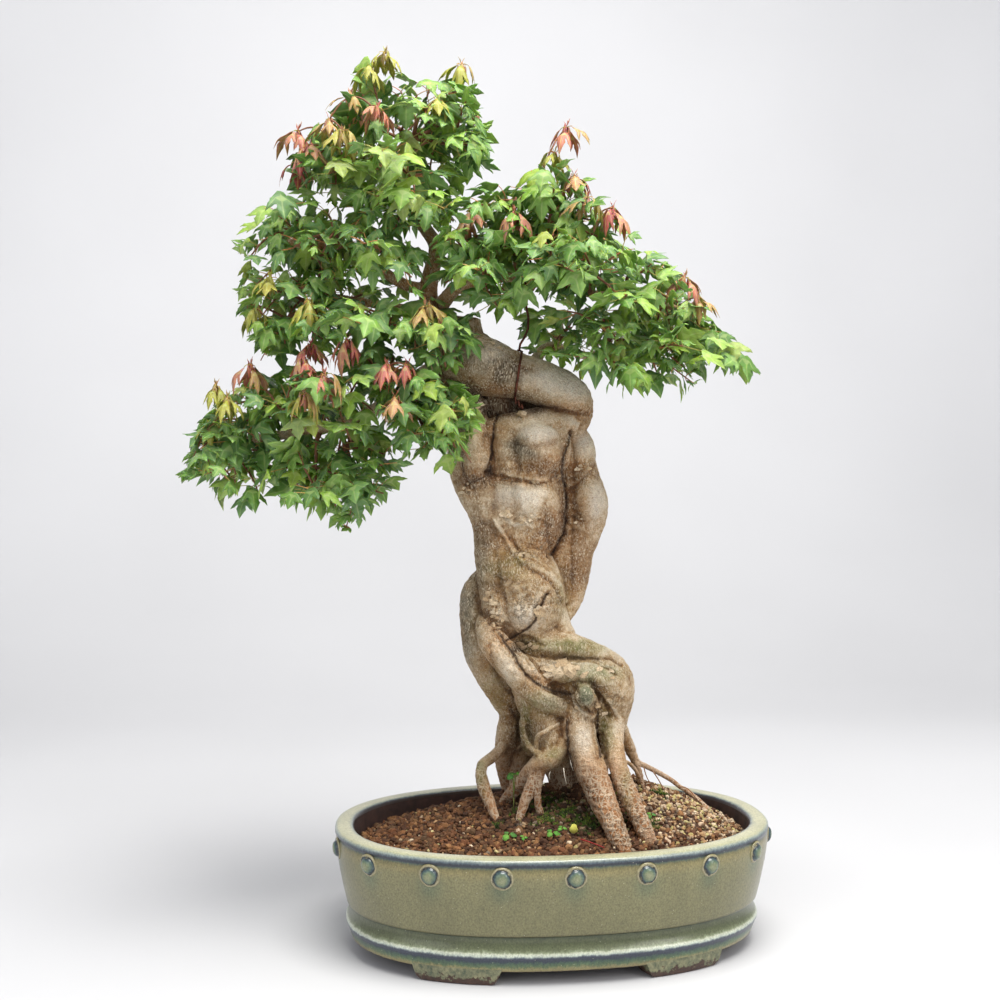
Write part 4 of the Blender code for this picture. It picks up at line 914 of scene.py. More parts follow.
# Outer profile of the pot, from the base edge up to the lip, as (inset, height).
POT_PROFILE = (
    (24.5, 9.0), (18.0, 9.2), (16.3, 10.2), (15.2, 13.0), (13.6, 17.5), (12.5, 21.0), (11.8, 22.6),
    (10.9, 24.2), (10.8, 26.0), (11.6, 27.8), (12.9, 29.6), (14.6, 33.0), (15.7, 36.5), (16.2, 40.0),
    (15.8, 42.6), (14.6, 43.8), (12.6, 44.4), (11.5, 45.4), (11.0, 47.5), (9.9, 52.0), (8.0, 60.0),
    (6.2, 69.0), (4.6, 77.0), (3.2, 85.0), (2.0, 93.0), (1.2, 100.0), (0.8, 106.0), (0.9, 110.0),
    (1.4, 112.2), (1.1, 113.6), (0.3, 114.8), (0.0, 116.4), (0.3, 118.2), (1.3, 119.6), (3.0, 120.5),
    (6.0, 120.9), (11.0, 120.8), (15.5, 120.6), (17.6, 120.0), (18.8, 118.8), (19.7, 116.4),
    (20.4, 110.0), (21.6, 98.0), (22.6, 60.0), (23.0, 34.0), (26.0, 26.0), (32.0, 20.0),
)

POT_SEGMENTS = 192
# The profile point at which the lip starts.
LIP_START = 30


def outline_marks():
    """Angles, and the distance in mm run along the pot's outline to each."""
    samples = 2000
    marks = [2 * math.pi * i / samples for i in range(samples + 1)]
    points = [oval(0.8, 0, a) for a in marks]
    run = [0.0]
    for a, b in zip(points, points[1:]):
        run.append(run[-1] + (b - a).length / MM)
    return marks, run


def stud_angles():
    """The front studs are evenly spaced, and the rest share what is left of the outline."""
    marks, run = outline_marks()
    rest = run[-1] - (STUD_FRONT_COUNT - 1) * STUD_FRONT_SPACING
    rest /= STUD_COUNT - STUD_FRONT_COUNT + 1
    places = [STUD_START + i * STUD_FRONT_SPACING for i in range(STUD_FRONT_COUNT)]
    places += [places[-1] + rest * (i + 1) for i in range(STUD_COUNT - STUD_FRONT_COUNT)]
    return [float(np.interp(place % run[-1], run, marks)) for place in places]


def drain_cutters():
    """Rods through the pot's floor, in a collection of their own."""
    group = bpy.data.collections.new("drains")
    bpy.context.scene.collection.children.link(group)
    for x in (-DRAIN_X, DRAIN_X):
        bpy.ops.mesh.primitive_cylinder_add(
            vertices=32, radius=DRAIN_RADIUS * MM, depth=60 * MM,
            location=SHIFT + Vector((x, 0, 10)) * MM)
        drain = bpy.context.object
        for owner in list(drain.users_collection):
            owner.objects.unlink(drain)
        group.objects.link(drain)
    return group


def build_pot():
    """The body with its lip. Its tint says how far along the profile and how near a stud."""
    marks, run = outline_marks()
    even = [float(np.interp(run[-1] * i / POT_SEGMENTS, run, marks)) for i in range(POT_SEGMENTS)]
    points = [oval(inset, height, angle) for inset, height in POT_PROFILE for angle in even]
    body = new_mesh("pot_body", points, ring_faces(len(POT_PROFILE), POT_SEGMENTS))
    studs = [oval(STUD_INSET, STUD_HEIGHT - RUN_LENGTH, angle) for angle in stud_angles()]
    tints = []
    for index, point in enumerate(points):
        ring = index // POT_SEGMENTS
        gap = min((point - stud).length for stud in studs) / MM
        run_down = math.exp(-(gap / RUN_LENGTH) ** 2) if ring < LIP_START else 0.0
        tints.append((ring / (len(POT_PROFILE) - 1), run_down, 0.0))
    colour_layer(body, "tint", np.array(tints))
    group = drain_cutters()
    cut = body.modifiers.new("drains", "BOOLEAN")
    cut.operation, cut.operand_type, cut.collection = "DIFFERENCE", "COLLECTION", group
    cut.solver = "EXACT"
    body = baked(body, "pot_glazed")
    for drain in list(group.objects):
        bpy.data.objects.remove(drain, do_unlink=True)
    bpy.data.collections.remove(group)
    body.data.polygons.foreach_set("use_smooth", [True] * len(body.data.polygons))
    body.data.materials.clear()
    return body


# Profile of a stud from its ring of glaze to the middle of its dome, as (radius, rise).
STUD_PROFILE = (
    (11.6, -1.4), (11.0, 0.1), (10.2, 0.7), (9.3, 0.75), (8.7, 0.35), (8.3, 0.5), (8.0, 1.6),
    (7.2, 2.9), (5.9, 4.0), (4.2, 4.8), (2.2, 5.2),
)

# Points round a stud, and how far its middle stands out in mm.
STUD_SIDES, STUD_TOP = 28, 5.3


def build_studs():
    """Round studs under the lip, each in a shallow ring of glaze."""
    pile = Pile()
    widest = STUD_PROFILE[0][0]
    for angle in stud_angles():
        here = oval(STUD_INSET, STUD_HEIGHT, angle)
        ahead = (oval(STUD_INSET, STUD_HEIGHT, angle + 0.01) - here).normalized()
        outward = Vector((ahead.y, -ahead.x, 0)).normalized()
        up = Vector((0, 0, 1)) + outward * 0.1
        side = outward.cross(up).normalized()
        up.normalize()
        outward = side.cross(up) * -1 if side.cross(up).dot(outward) < 0 else side.cross(up)
        points, tints = [], []
        for radius, rise in STUD_PROFILE:
            for k in range(STUD_SIDES):
                a = 2 * math.pi * k / STUD_SIDES
                points.append(here + (side * math.cos(a) + up * math.sin(a)) * radius * MM
                              + outward * rise * MM)
                tints.append((radius / widest, 0.5 + 0.5 * math.sin(a) * radius / widest, 0.0))
        turned = ring_faces(len(STUD_PROFILE), STUD_SIDES)[:-1]
        faces = [face[:1] + face[:0:-1] for face in turned]
        top = len(points) - STUD_SIDES
        faces += [(top + k, len(points), top + (k + 1) % STUD_SIDES) for k in range(STUD_SIDES)]
        points.append(here + outward * STUD_TOP * MM)
        tints.append((0.0, 0.5, 0.0))
        pile.add(points, faces, tints)
    return pile


# Section of a foot, as (inset, height).
FOOT_SECTION = (
    (15.5, 13.0), (15.4, 8.0), (15.8, 3.0), (16.4, 0.0), (17.2, -2.8), (18.6, -4.0),
    (36.0, -4.0), (39.0, -2.5), (39.5, 4.0), (39.5, 13.0),
)

# Steps along a foot, and the height of its sole and of the whole foot in mm.
FOOT_STEPS, FOOT_SOLE, FOOT_TALL = 26, -4, 17


def build_feet():
    """Low feet that follow the oval, with slanted ends and worn lower edges."""
    pile = Pile()
    for centre in (FOOT_ANGLE, math.pi - FOOT_ANGLE, math.pi + FOOT_ANGLE, -FOOT_ANGLE):
        points = []
        for i in range(FOOT_STEPS + 1):
            swing = 2 * i / FOOT_STEPS - 1
            for inset, height in FOOT_SECTION:
                reach = 0.84 + 0.16 * (height - FOOT_SOLE) / FOOT_TALL
                edge = 1.2 if height < -2 and abs(swing) > 0.97 else 0.0
                points.append(oval(inset, height + edge, centre + swing * FOOT_REACH * reach))
        pile.add(points, ring_faces(FOOT_STEPS + 1, len(FOOT_SECTION)), (0.5, 0.5, 0.5))
    return pile


# Glaze colours from 0 to 255 along the pot's profile, by the profile point they lie at; one pale stop on
# the lip's edge is a painted highlight.
GLAZE = (
    (0, (64, 46, 34)), (1.6, (66, 48, 34)), (2.1, (150, 138, 98)), (2.9, (142, 134, 96)),
    (3.5, (92, 112, 82)), (4.3, (66, 90, 78)), (5.0, (48, 58, 76)), (6.9, (56, 62, 84)),
    (7.5, (110, 120, 128)), (8.1, (190, 198, 192)), (9.1, (200, 204, 190)), (9.8, (134, 142, 116)),
    (10.6, (100, 106, 80)), (13, (88, 94, 68)), (14.3, (56, 66, 50)), (15.1, (72, 54, 40)),
    (15.8, (110, 102, 74)), (18, (122, 118, 86)), (22, (126, 122, 90)), (25, (130, 125, 92)),
    (26.2, (138, 128, 90)), (27.3, (118, 112, 78)), (28.2, (78, 92, 82)), (28.9, (46, 56, 68)),
    # The pale blue-grey at 32.4, on the rounded outer edge of the lip, is a painted highlight.
    (30.2, (42, 48, 62)), (31.2, (76, 88, 102)), (32.4, (140, 150, 150)), (34, (174, 172, 144)),
    (36.4, (182, 178, 150)), (37.6, (132, 140, 132)), (38.3, (66, 74, 86)), (39, (46, 34, 32)),
)


def glaze_finish():
    finish = Finish("celadon_glaze", 0.3, Coat_Weight=0.25, Coat_Roughness=0.12)
    height, run_down, _ = finish.parts("tint")
    wobble = finish.sway(finish.noise(9, 3.0, 0.6), 0.03)
    runs = finish.sway(finish.noise(2.6, 3.0, 0.6, finish.stretched(1, 1, 0.3)), 0.034)
    place = finish.plus(finish.plus(height, wobble), runs)
    last = len(POT_PROFILE) - 1
    bands = finish.ramp(place, *((mark / last, colour) for mark, colour in GLAZE))
    colour = finish.mix(0.5, bands, (248, 250, 228), "MULTIPLY")
    flow = finish.noise(34, 4.0, 0.6, finish.stretched(1, 1, 0.5))
    colour = finish.mottled(colour, flow, 1.0, (0.3, 0.84), (0.7, 1.08))
    colour = finish.mix(finish.times(run_down, 0.6), colour, (84, 106, 84))
    grain = finish.noise(1.5, 3.0, 0.7, finish.stretched(1, 1, 0.75))
    colour = finish.mottled(colour, grain, 0.95, (0.34, 0.66), (0.5, 0.98), (0.66, 1.22))
    colour = finish.mottled(colour, finish.cells(4.0), 0.85, (0.05, 0.2), (0.12, 1.0))
    glints = finish.levels(finish.cells(6.5, finish.stretched(1.1, 0.9, 1)), (0.04, 0.7), (0.08, 0.0))
    colour = finish.mix(glints, colour, (196, 194, 168))
    return finish.done(colour, finish.noise(5, 3.0, 0.5), 0.0006, 0.35)


def stud_finish():
    finish = Finish("stud_glaze", 0.25, Coat_Weight=0.3, Coat_Roughness=0.1)
    outward = finish.parts("tint")[0]
    wobble = finish.sway(finish.noise(6, 3.0, 0.6, finish.stretched(1, 1, 0.6)), 0.5)
    rings = finish.ramp(
        finish.plus(outward, wobble),
        (0.0, (140, 142, 110)), (0.3, (122, 130, 98)), (0.5, (88, 106, 88)), (0.63, (58, 76, 80)),
        (0.71, (44, 50, 56)), (0.75, (88, 86, 68)), (0.82, (164, 156, 124)), (0.9, (146, 138, 104)),
        (1.0, (128, 122, 88)))
    colour = finish.mottled(rings, finish.noise(1.6, 3.0, 0.7), 0.8, (0.3, 0.7), (0.7, 1.25))
    return finish.done(colour, finish.noise(4, 3.0, 0.5), 0.0005, 0.4)


def foot_finish():
    """Glaze that ends in a ragged line above the bare clay of the sole."""
    finish = Finish("foot_glaze", 0.4, Coat_Weight=0.15, Coat_Roughness=0.2)
    ragged = finish.sway(finish.noise(8, 5.0, 0.7), 0.034)
    low = finish.minus(finish.height(), SHIFT.z + 2.2 * MM)
    edge = finish.times(finish.plus(low, ragged), 300.0)
    worn = finish.levels(edge, (0.0, 0.0), (0.35, 1.0))
    glaze = finish.ramp(finish.noise(5, 4.0, 0.7),
                        (0.3, (64, 76, 60)), (0.5, (112, 114, 86)), (0.7, (150, 146, 110)))
    clay = finish.ramp(finish.noise(3, 4.0, 0.7), (0.3, (48, 30, 24)), (0.7, (84, 58, 44)))
    return finish.done(finish.mix(worn, clay, glaze), finish.noise(2.4, 4.0, 0.6), 0.0008, 0.6)


def clay_finish():
    finish = Finish("unglazed_clay", 0.8)
    colour = finish.ramp(finish.noise(12, 4.0, 0.65), (0.3, (34, 19, 15)), (0.7, (64, 40, 32)))
    return finish.done(colour, finish.noise(1.6, 3.0, 0.6), 0.0006, 0.4)


def bark_lines():
    """The lines of the trunk, its backing and the branches as round rods in one mesh."""
    curve = bpy.data.curves.new("wood_lines", "CURVE")
    curve.dimensions = "3D"
    curve.bevel_depth = MM
    curve.bevel_resolution = 6
    curve.use_fill_caps = True
    for stations in (*TRUNK.values(), *BACKING.values(), *BRANCHES.values()):
        route = smooth_route(stations, 6)
        spline = curve.splines.new("POLY")
        spline.points.add(len(route) - 1)
        for mark, (point, radius) in zip(spline.points, route):
            mark.co = (*point, 1.0)
            mark.radius = radius
    return baked(in_scene("wood_lines", curve), "wood_lines")


def averaged(mesh, values, steps):
    """values at the mesh's points, each made the mean of its neighbours, steps times over."""
    ends = np.zeros(len(mesh.edges) * 2, np.int64)
    mesh.edges.foreach_get("vertices", ends)
    one, two = ends[0::2], ends[1::2]
    total = len(mesh.vertices)
    count = np.bincount(one, minlength=total) + np.bincount(two, minlength=total)
    for _ in range(steps):
        columns = [np.bincount(one, column[two], total) + np.bincount(two, column[one], total)
                   for column in values.T]
        values = np.stack(columns, axis=1) / count[:, None]
    return values


def surface(mesh):
    """The mesh's points and the directions in which its surface faces there."""
    found = []
    for items, name in ((mesh.vertices, "co"), (mesh.vertex_normals, "vector")):
        values = np.zeros(len(items) * 3)
        items.foreach_get(name, values)
        found.append(values.reshape(-1, 3))
    return found


def hollows(mesh, steps):
    """How far each point lies below the smoothed surface round it, in mm."""
    points, outward = surface(mesh)
    smooth = averaged(mesh, points, steps)
    return np.sum((smooth - points) * outward, axis=1) / MM


def line_distance(places, line):
    """Distance in mm of each place from a line of (x, z) points."""
    best = np.full(len(places), 1e9)
    for a, b in zip(line, line[1:]):
        a, b = np.array(a, float), np.array(b, float)
        along = np.clip(((places - a) @ (b - a)) / max(1e-9, (b - a) @ (b - a)), 0, 1)
        best = np.minimum(best, np.linalg.norm(places - (a + along[:, None] * (b - a)), axis=1))
    return best


def drifted(places):
    """The (x, z) of each place, shifted a little so that lines drawn on the bark waver."""
    flat = np.stack([places[:, 0], np.zeros(len(places)), places[:, 1]], axis=1) * MM
    shift = [1.2 * cloud(flat, 9, seed) + 0.5 * cloud(flat, 3.4, seed + 5) for seed in (3.7, 21.3)]
    return places[:, :2] + np.stack(shift, axis=1)


def facing_front(points, outward):
    """0 where the surface faces away from the front viewpoint, 1 where it faces it."""
    eye = np.array(seen(0, 0, -VIEW_DISTANCE))
    towards = eye - points
    towards /= np.linalg.norm(towards, axis=1)[:, None]
    share = np.clip((np.sum(outward * towards, axis=1) - 0.05) / 0.35, 0, 1)
    return share * share * (3 - 2 * share)


def cloud(points, size, seed, stretch=(1, 1, 1)):
    """Smooth noise from -1 to 1 at each point, with lumps of about size mm."""
    scale = 1000 / size
    sx, sy, sz = (scale / s for s in stretch)
    basis = "PERLIN_ORIGINAL"
    return np.array([noise.noise((x * sx + seed, y * sy, z * sz), noise_basis=basis)
                     for x, y, z in points])


def below(heights, top, fade):
    """1 where a height is well below top, and 0 above top, with a fade of so many mm."""
    return np.clip((top - heights) / fade, 0, 1)


def blob(places, x, z, wide, high):
    """1 at (x, z) of the front view, fading out round it."""
    return np.exp(-((places[:, 0] - x) / wide) ** 2 - ((places[:, 1] - z) / high) ** 2)


def sculpt(points, outward):
    """How far each bark point moves along its normal, in mm."""
    places = front_places(points)
    across, height = places[:, 0], places[:, 1]
    front = facing_front(points, outward)
    move = np.zeros(len(points))
    for x, z, wide, high, rise in SWELLS:
        move += front * rise * blob(places, x, z, wide, high)
    ragged = cloud(points, 3.4, 2.2)
    wavering = drifted(places)
    for depth, half, line in CREASES:
        gap = line_distance(wavering, line)
        core = np.exp(-(gap / half) ** 2)
        if depth > 0:
            core = 0.45 * core + 0.7 * np.exp(-gap / (3 * half))
        move -= front * depth * (0.85 + 0.4 * ragged) * core
    thick = np.clip((height - 90) / 60, 0.3, 1)
    broad = cloud(points, 34, 1.3, (1, 1, 1.8))
    ribs = 1 - 2 * np.abs(cloud(points, 15, 8.1, (0.8, 0.8, 3.2)))
    small = cloud(points, 6.5, 5.5, (1.3, 1.3, 0.8))
    fine = cloud(points, 2.8, 9.5, (1.5, 1.5, 0.7))
    body = (1 - branch_share(places)) * thick
    move += body * (1.8 * broad + 0.6 * ribs) + (0.25 + 0.4 * body) * small + 0.3 * fine
    rough = region(points, outward, "rough")
    wrinkle = np.abs(cloud(points, 8, 6.6, (1.2, 1.2, 0.9)) + 0.35 * ragged)
    move -= rough * 1.4 * np.exp(-(wrinkle / 0.07) ** 2)
    move += rough * 0.8 * small
    legs = below(height, *RINGED) * (across > RINGED_RIGHT_OF)
    rings = np.sin(height / 0.85 + 2.6 * broad + 2.2 * small + across * 0.1)
    move += 0.36 * legs * rings * np.clip(0.7 + small, 0, 1)
    return move


def branch_share(places):
    """1 up in the branches, 0 on the trunk."""
    start, fade = BRANCHES_FROM
    return np.clip((places[:, 1] - start) / fade, 0, 1)


def region(points, outward, kind):
    """How strongly one kind of stain or of painted light covers each bark point."""
    places = front_places(points)
    front = BEHIND + (1 - BEHIND) * facing_front(points, outward)
    amount = np.zeros(len(points))
    for x, z, wide, high, strength in STAINS_AND_PAINTED_LIGHT[kind]:
        amount += front * strength * blob(places, x, z, wide, high)
    return np.clip(amount, 0, 1)


def stains_and_painted_light(points, outward):
    """Amounts of each kind of colour at each bark point."""
    places = front_places(points)
    amounts = {kind: region(points, outward, kind) for kind in STAINS_AND_PAINTED_LIGHT}
    facing = facing_front(points, outward)
    front = BEHIND + (1 - BEHIND) * facing
    wavering = drifted(places)
    crack = np.ones(len(points))
    for depth, half, line in CREASES:
        gap = line_distance(wavering, line)
        if depth > GROOVE_DEPTH:
            crack = np.minimum(crack, gap / GROOVE_REACH)
        # Creases are darkened along their line, painted shade, and made warmer and rougher beside it;
        # raised ridges are paler.
        if depth > 0:
            beside = np.exp(-(gap / (half * 3)) ** 2)
            amounts["dark"] += front * min(0.5, (depth / 5) ** 2) * np.exp(-(gap / (half * 0.7)) ** 2)
            amounts["warm"] += front * 0.5 * beside
            amounts["rough"] += front * 0.3 * beside
        else:
            amounts["pale"] += front * 0.5 * np.exp(-(gap / half) ** 2)
    low = below(places[:, 1], *DAMP)
    amounts["green"] += 0.12 * low
    amounts["warm"] += 0.6 * low + 0.9 * branch_share(places)
    amounts["crack"] = np.where(facing > 0.3, crack, 1)
    amounts["legs"] = below(places[:, 1], *REDDISH)
    return amounts


# What each kind of stain or painted light does to the bark: its colour, its strength and how patchy it
# is.
STAIN_AND_LIGHT_COLOURS = {
    # The darkest kind is painted shade, the near-white one painted highlight, and the grey-green one a
    # stain that is also painted shade.
    "legs": ((180, 120, 86), 0.72, 0.3), "ash": ((206, 196, 184), 0.66, 0.3),
    "warm": ((192, 132, 80), 0.46, 0.6), "green": ((98, 100, 44), 0.8, 0.8),
    "sage": ((128, 136, 104), 0.9, 0.3), "grey_stain_and_shade": ((78, 74, 62), 0.82, 0.5),
    "dark": ((58, 40, 24), 0.72, 0.0), "painted_highlight": ((242, 236, 226), 0.7, 0.4),
}

# Bark colours from the darkest tone to the palest, from 0 to 255.
TONES = (
    (0.0, (84, 58, 34)), (0.25, (132, 98, 60)), (0.5, (176, 142, 100)), (0.72, (212, 190, 157)),
    (1.0, (238, 226, 206)),
)


def bark_shade(points, outward, amounts):
    """The colour of each bark point before its grain, from 0 to 255."""
    # Bark that faces up is paler and bark that faces down darker, painted light from above, and hollows
    # are darker, painted shade.
    hollow_shade = np.clip(amounts["cavity"] - 0.5, -0.3, 0.5)
    tone = 0.48 + 0.2 * outward[:, 2] + 0.34 * cloud(points, 26, 2.9) + 0.18 * cloud(points, 8, 6.1)
    tone += 0.2 * cloud(points, 3.2, 1.1) + 0.34 * amounts["pale"] - 0.8 * hollow_shade
    tone -= 0.16 * np.clip(amounts["warm"], 0, 1) + 0.14 * np.clip(amounts["dark"], 0, 1)
    tone += 0.1 * below(front_places(points)[:, 1], *PALER)
    marks, colours = zip(*TONES)
    shade = np.stack([np.interp(tone, marks, part) for part in zip(*colours)], axis=1)
    patches = cloud(points, 7, 4.4)
    for kind, (colour, strength, patchy) in STAIN_AND_LIGHT_COLOURS.items():
        cover = np.clip(1 + patchy * (patches - 0.3), 0, 1)
        share = np.clip(amounts[kind] * strength * cover, 0, 0.92)[:, None]
        shade = shade * (1 - share) + np.array(colour) * share
    return shade


def colour_bark(item):
    """Gives item the point colours that the bark's material reads."""
    points, outward = surface(item.data)
    amounts = stains_and_painted_light(points, outward)
    # How deep each point lies in a hollow, which the colour darkens as painted shade.
    amounts["cavity"] = 0.5 + 0.22 * hollows(item.data, 8) + 0.07 * hollows(item.data, 50)
    shade = bark_shade(points, outward, amounts)
    for name, kinds in (("relief", ("rough", "cavity", "legs")), ("lines", ("crack", "sage", "crack"))):
        values = np.stack([amounts[kind] for kind in kinds], axis=1)
        colour_layer(item, name, np.clip(values, 0, 1))
    colour_layer(item, "shade", np.clip((shade / 255) ** 2.2, 0, 1))


def thin_behind(item, share):
    """Thins out the part of item that the front view doesn't see, down to share of its triangles."""
    points, outward = surface(item.data)
    hidden = facing_front(points, outward) < 0.02
    group = item.vertex_groups.new(name="hidden")
    group.add([int(i) for i in np.flatnonzero(hidden)], 1.0, "REPLACE")
    thin = item.modifiers.new("thin behind", "DECIMATE")
    thin.vertex_group = "hidden"
    thin.ratio = 1 - hidden.mean() * (1 - share)
    return baked(item, item.name)


def build_bark():
    mass = bark_lines()
    fuse = mass.modifiers.new("fuse", "REMESH")
    fuse.mode = "VOXEL"
    fuse.voxel_size = BARK_VOXEL * MM
    soften = mass.modifiers.new("soften", "SMOOTH")
    soften.factor = 0.5
    soften.iterations = 10
    mass = baked(mass, "bark_fused")
    points, outward = surface(mass.data)
    points += outward * sculpt(points, outward)[:, None] * MM
    mass.data.vertices.foreach_set("co", points.ravel())
    mass.data.update()
    mass = thin_behind(mass, KEPT_BEHIND)
    triangles = sum(len(face.vertices) - 2 for face in mass.data.polygons)
    thin = mass.modifiers.new("thin out", "DECIMATE")
    thin.ratio = min(1.0, BARK_TRIANGLES / triangles)
    mass = baked(mass, "bark")
    mass.data.polygons.foreach_set("use_smooth", [True] * len(mass.data.polygons))
    colour_bark(mass)
    mass.data.materials.clear()
    return mass


def build_fine_roots():
    """Thin roots that sway a little and swell here and there."""
    pile = Pile()
    for number, stations in enumerate(FINE_ROOTS.values()):
        route = []
        for i, (point, radius) in enumerate(smooth_route(stations, 3)):
            sway = Vector([noise.noise((i * 0.23, number, seed)) for seed in (1, 7, 13)])
            swell = 1 + 0.16 * noise.noise((i * 0.6, number, 21))
            route.append((point + sway * 1.2 * MM, radius * swell))
        pile.tube(route, 10, (0.5, 0.5, 0.5))
    return pile


# Loose plates of bark, seen from the front: x, z, half width, half height, count, size in mm.
PLATES = (
    (-14, 336, 6, 8, 5, 7.5), (10, 275, 17, 9, 16, 8.5), (-60, 330, 10, 8, 5, 4),
    (36, 236, 14, 8, 7, 4.5), (-32, 432, 12, 5, 7, 4), (-66, 618, 20, 12, 8, 4),
    (-62, 322, 6, 16, 6, 4), (62, 272, 9, 7, 5, 4), (-16, 470, 12, 2, 4, 3), (12, 366, 6, 12, 4, 4),
    (-26, 298, 10, 6, 7, 6), (27, 432, 7, 4, 4, 3), (50, 240, 8, 10, 5, 4),
    (-34, 396, 8, 12, 5, 3.5), (-48, 437, 10, 4, 6, 4.5), (-88, 464, 5, 8, 5, 4),
    (-1, 402, 5, 8, 6, 4.5), (-78, 547, 4, 6, 5, 6), (-33, 541, 5, 3, 4, 5), (6, 476, 8, 2, 5, 4),
    (30, 486, 7, 4, 5, 4), (-66, 352, 6, 10, 6, 4.5), (-40, 366, 10, 6, 5, 4),
)

PLATE_COLOURS = ((200, 178, 146), (214, 194, 164), (176, 150, 116), (190, 166, 132))


def build_plates(bark_tree):
    """Thin plates that lift off the bark at one side."""
    rng = random.Random(SEED + 4)
    pile = Pile()

    def on_bark(x, z):
        start = seen(x, z, -300)
        return bark_tree.ray_cast(start, (seen(x, z, 300) - start).normalized(), 0.7)

    def plate(x, z, size):
        span, turn = size * rng.uniform(0.4, 1.0), rng.uniform(0, 6.3)
        curl = rng.uniform(0, 6.3)
        lift = rng.uniform(0.5, 1.6)
        heart, normal = on_bark(x, z)[:2]
        corners = rng.choice((7, 9, 11))
        top = []
        for k in range(corners):
            angle = turn + 2 * math.pi * k / corners
            reach = span * rng.uniform(0.45, 1.15)
            hit, outward = on_bark(x + reach * math.cos(angle), z + 0.7 * reach * math.sin(angle))[:2]
            if hit is None or heart is None or (hit - heart).length > span * 2 * MM:
                return
            rise = 0.4 + 1.6 * lift * (0.5 + 0.5 * math.cos(angle - curl)) ** 2
            top.append(hit + outward * rise * MM)
        core = heart + normal * (0.5 + lift * 0.4) * MM
        low = [point - normal * 0.7 * MM for point in top + [core]]
        faces = []
        for k in range(corners):
            j = (k + 1) % corners
            faces += [(k, j, corners), (corners + 1 + j, corners + 1 + k, 2 * corners + 1),
                      (j, k, corners + 1 + k, corners + 1 + j)]
        pile.add(top + [core] + low, faces, linear(rng.choice(PLATE_COLOURS)))

    for x, z, wide, high, count, size in PLATES:
        for _ in range(count):
            plate(x + rng.gauss(0, wide * 0.55), z + rng.gauss(0, high * 0.55), size)
    return pile


def bark_finish():
    finish = Finish("bark", 0.75)
    rough, cavity, legs = finish.parts("relief")
    crack, sage, _ = finish.parts("lines")
    shade = finish.attribute("shade")
    tall, flat = finish.stretched(1, 1, 0.5), finish.stretched(1, 1, 1.8)
    upright = finish.warped(finish.stretched(1, 1, 0.55), 14, 9)
    level = finish.warped(finish.stretched(0.7, 0.7, 2.6), 14, 5)
    blotch = finish.noise(4, 5.0, 0.8, tall)
    colour = finish.mottled(shade, blotch, 0.9, (0.34, 0.8), (0.5, 1.0), (0.66, 1.18))
    mottle = finish.ramp(finish.noise(1.8, 3.0, 0.75, flat),
                         (0.36, (216, 182, 142)), (0.5, (254, 250, 244)), (0.66, (280, 277, 272)))
    clear = finish.minus(0.9, finish.times(sage, 0.6))
    colour = finish.mix(clear, colour, mottle, "MULTIPLY")
    pale = finish.mix(0.66, shade, (242, 226, 198))
    patches = finish.levels(finish.noise(16, 3.0, 0.6), (0.34, 0.35), (0.56, 1.0))
    # Pale flecks fade out in hollows, which darkens them: painted shade.
    out_of_hollow_shade = finish.levels(cavity, (0.5, 1.0), (0.85, 0.25))
    dashes = finish.levels(finish.cells(2.1, upright), (0.26, 0.95), (0.42, 0.0))
    webs = finish.levels(finish.cells(3.6, upright, "DISTANCE_TO_EDGE"), (0.05, 0.34), (0.12, 0.0))
    rings = finish.levels(finish.noise(3.4, 2.0, 0.6, level), (0.54, 0.0), (0.6, 0.9))
    net = finish.levels(finish.cells(4.4, upright, "DISTANCE_TO_EDGE"), (0.06, 0.9), (0.15, 0.0))
    on_body = finish.times(finish.larger(dashes, webs), finish.minus(1.0, legs))
    on_legs = finish.times(finish.larger(rings, net), legs)
    flecks = finish.larger(on_body, on_legs)
    colour = finish.mix(finish.times(finish.times(flecks, patches), out_of_hollow_shade), colour, pale)
    # Dark lines in the fine cracks of rough bark and along deep creases: painted shade.
    lines = finish.math("ABSOLUTE", finish.minus(finish.noise(8, 5.0, 0.7), 0.5))
    cracks = finish.times(finish.levels(lines, (0.0, 1.0), (0.02, 0.0)), rough)
    jitter = finish.sway(finish.noise(3, 3.0, 0.7), 0.22)
    groove = finish.levels(finish.plus(crack, jitter), (0.06, 1.0), (0.12, 0.0))
    dark = finish.larger(finish.times(cracks, 0.75), finish.times(groove, 0.78))
    colour = finish.mix(dark, colour, (60, 40, 25))
    bump = finish.plus(finish.noise(1.9, 4.0, 0.75, flat),
                       finish.times(finish.noise(4.5, 4.0, 0.7, tall), 1.2))
    bump = finish.plus(bump, finish.times(flecks, 0.4))
    bump = finish.minus(bump, finish.times(dark, 1.2))
    return finish.done(colour, bump, 0.0032, 0.85)


def plate_finish():
    finish = Finish("loose_bark", 0.8)
    colour = finish.mottled(finish.attribute("tint"), finish.noise(1.5, 3.0, 0.75), 0.9,
                            (0.34, 0.55), (0.5, 1.0), (0.68, 1.2))
    return finish.done(colour, finish.noise(1.4, 3.0, 0.7), 0.001, 0.6)


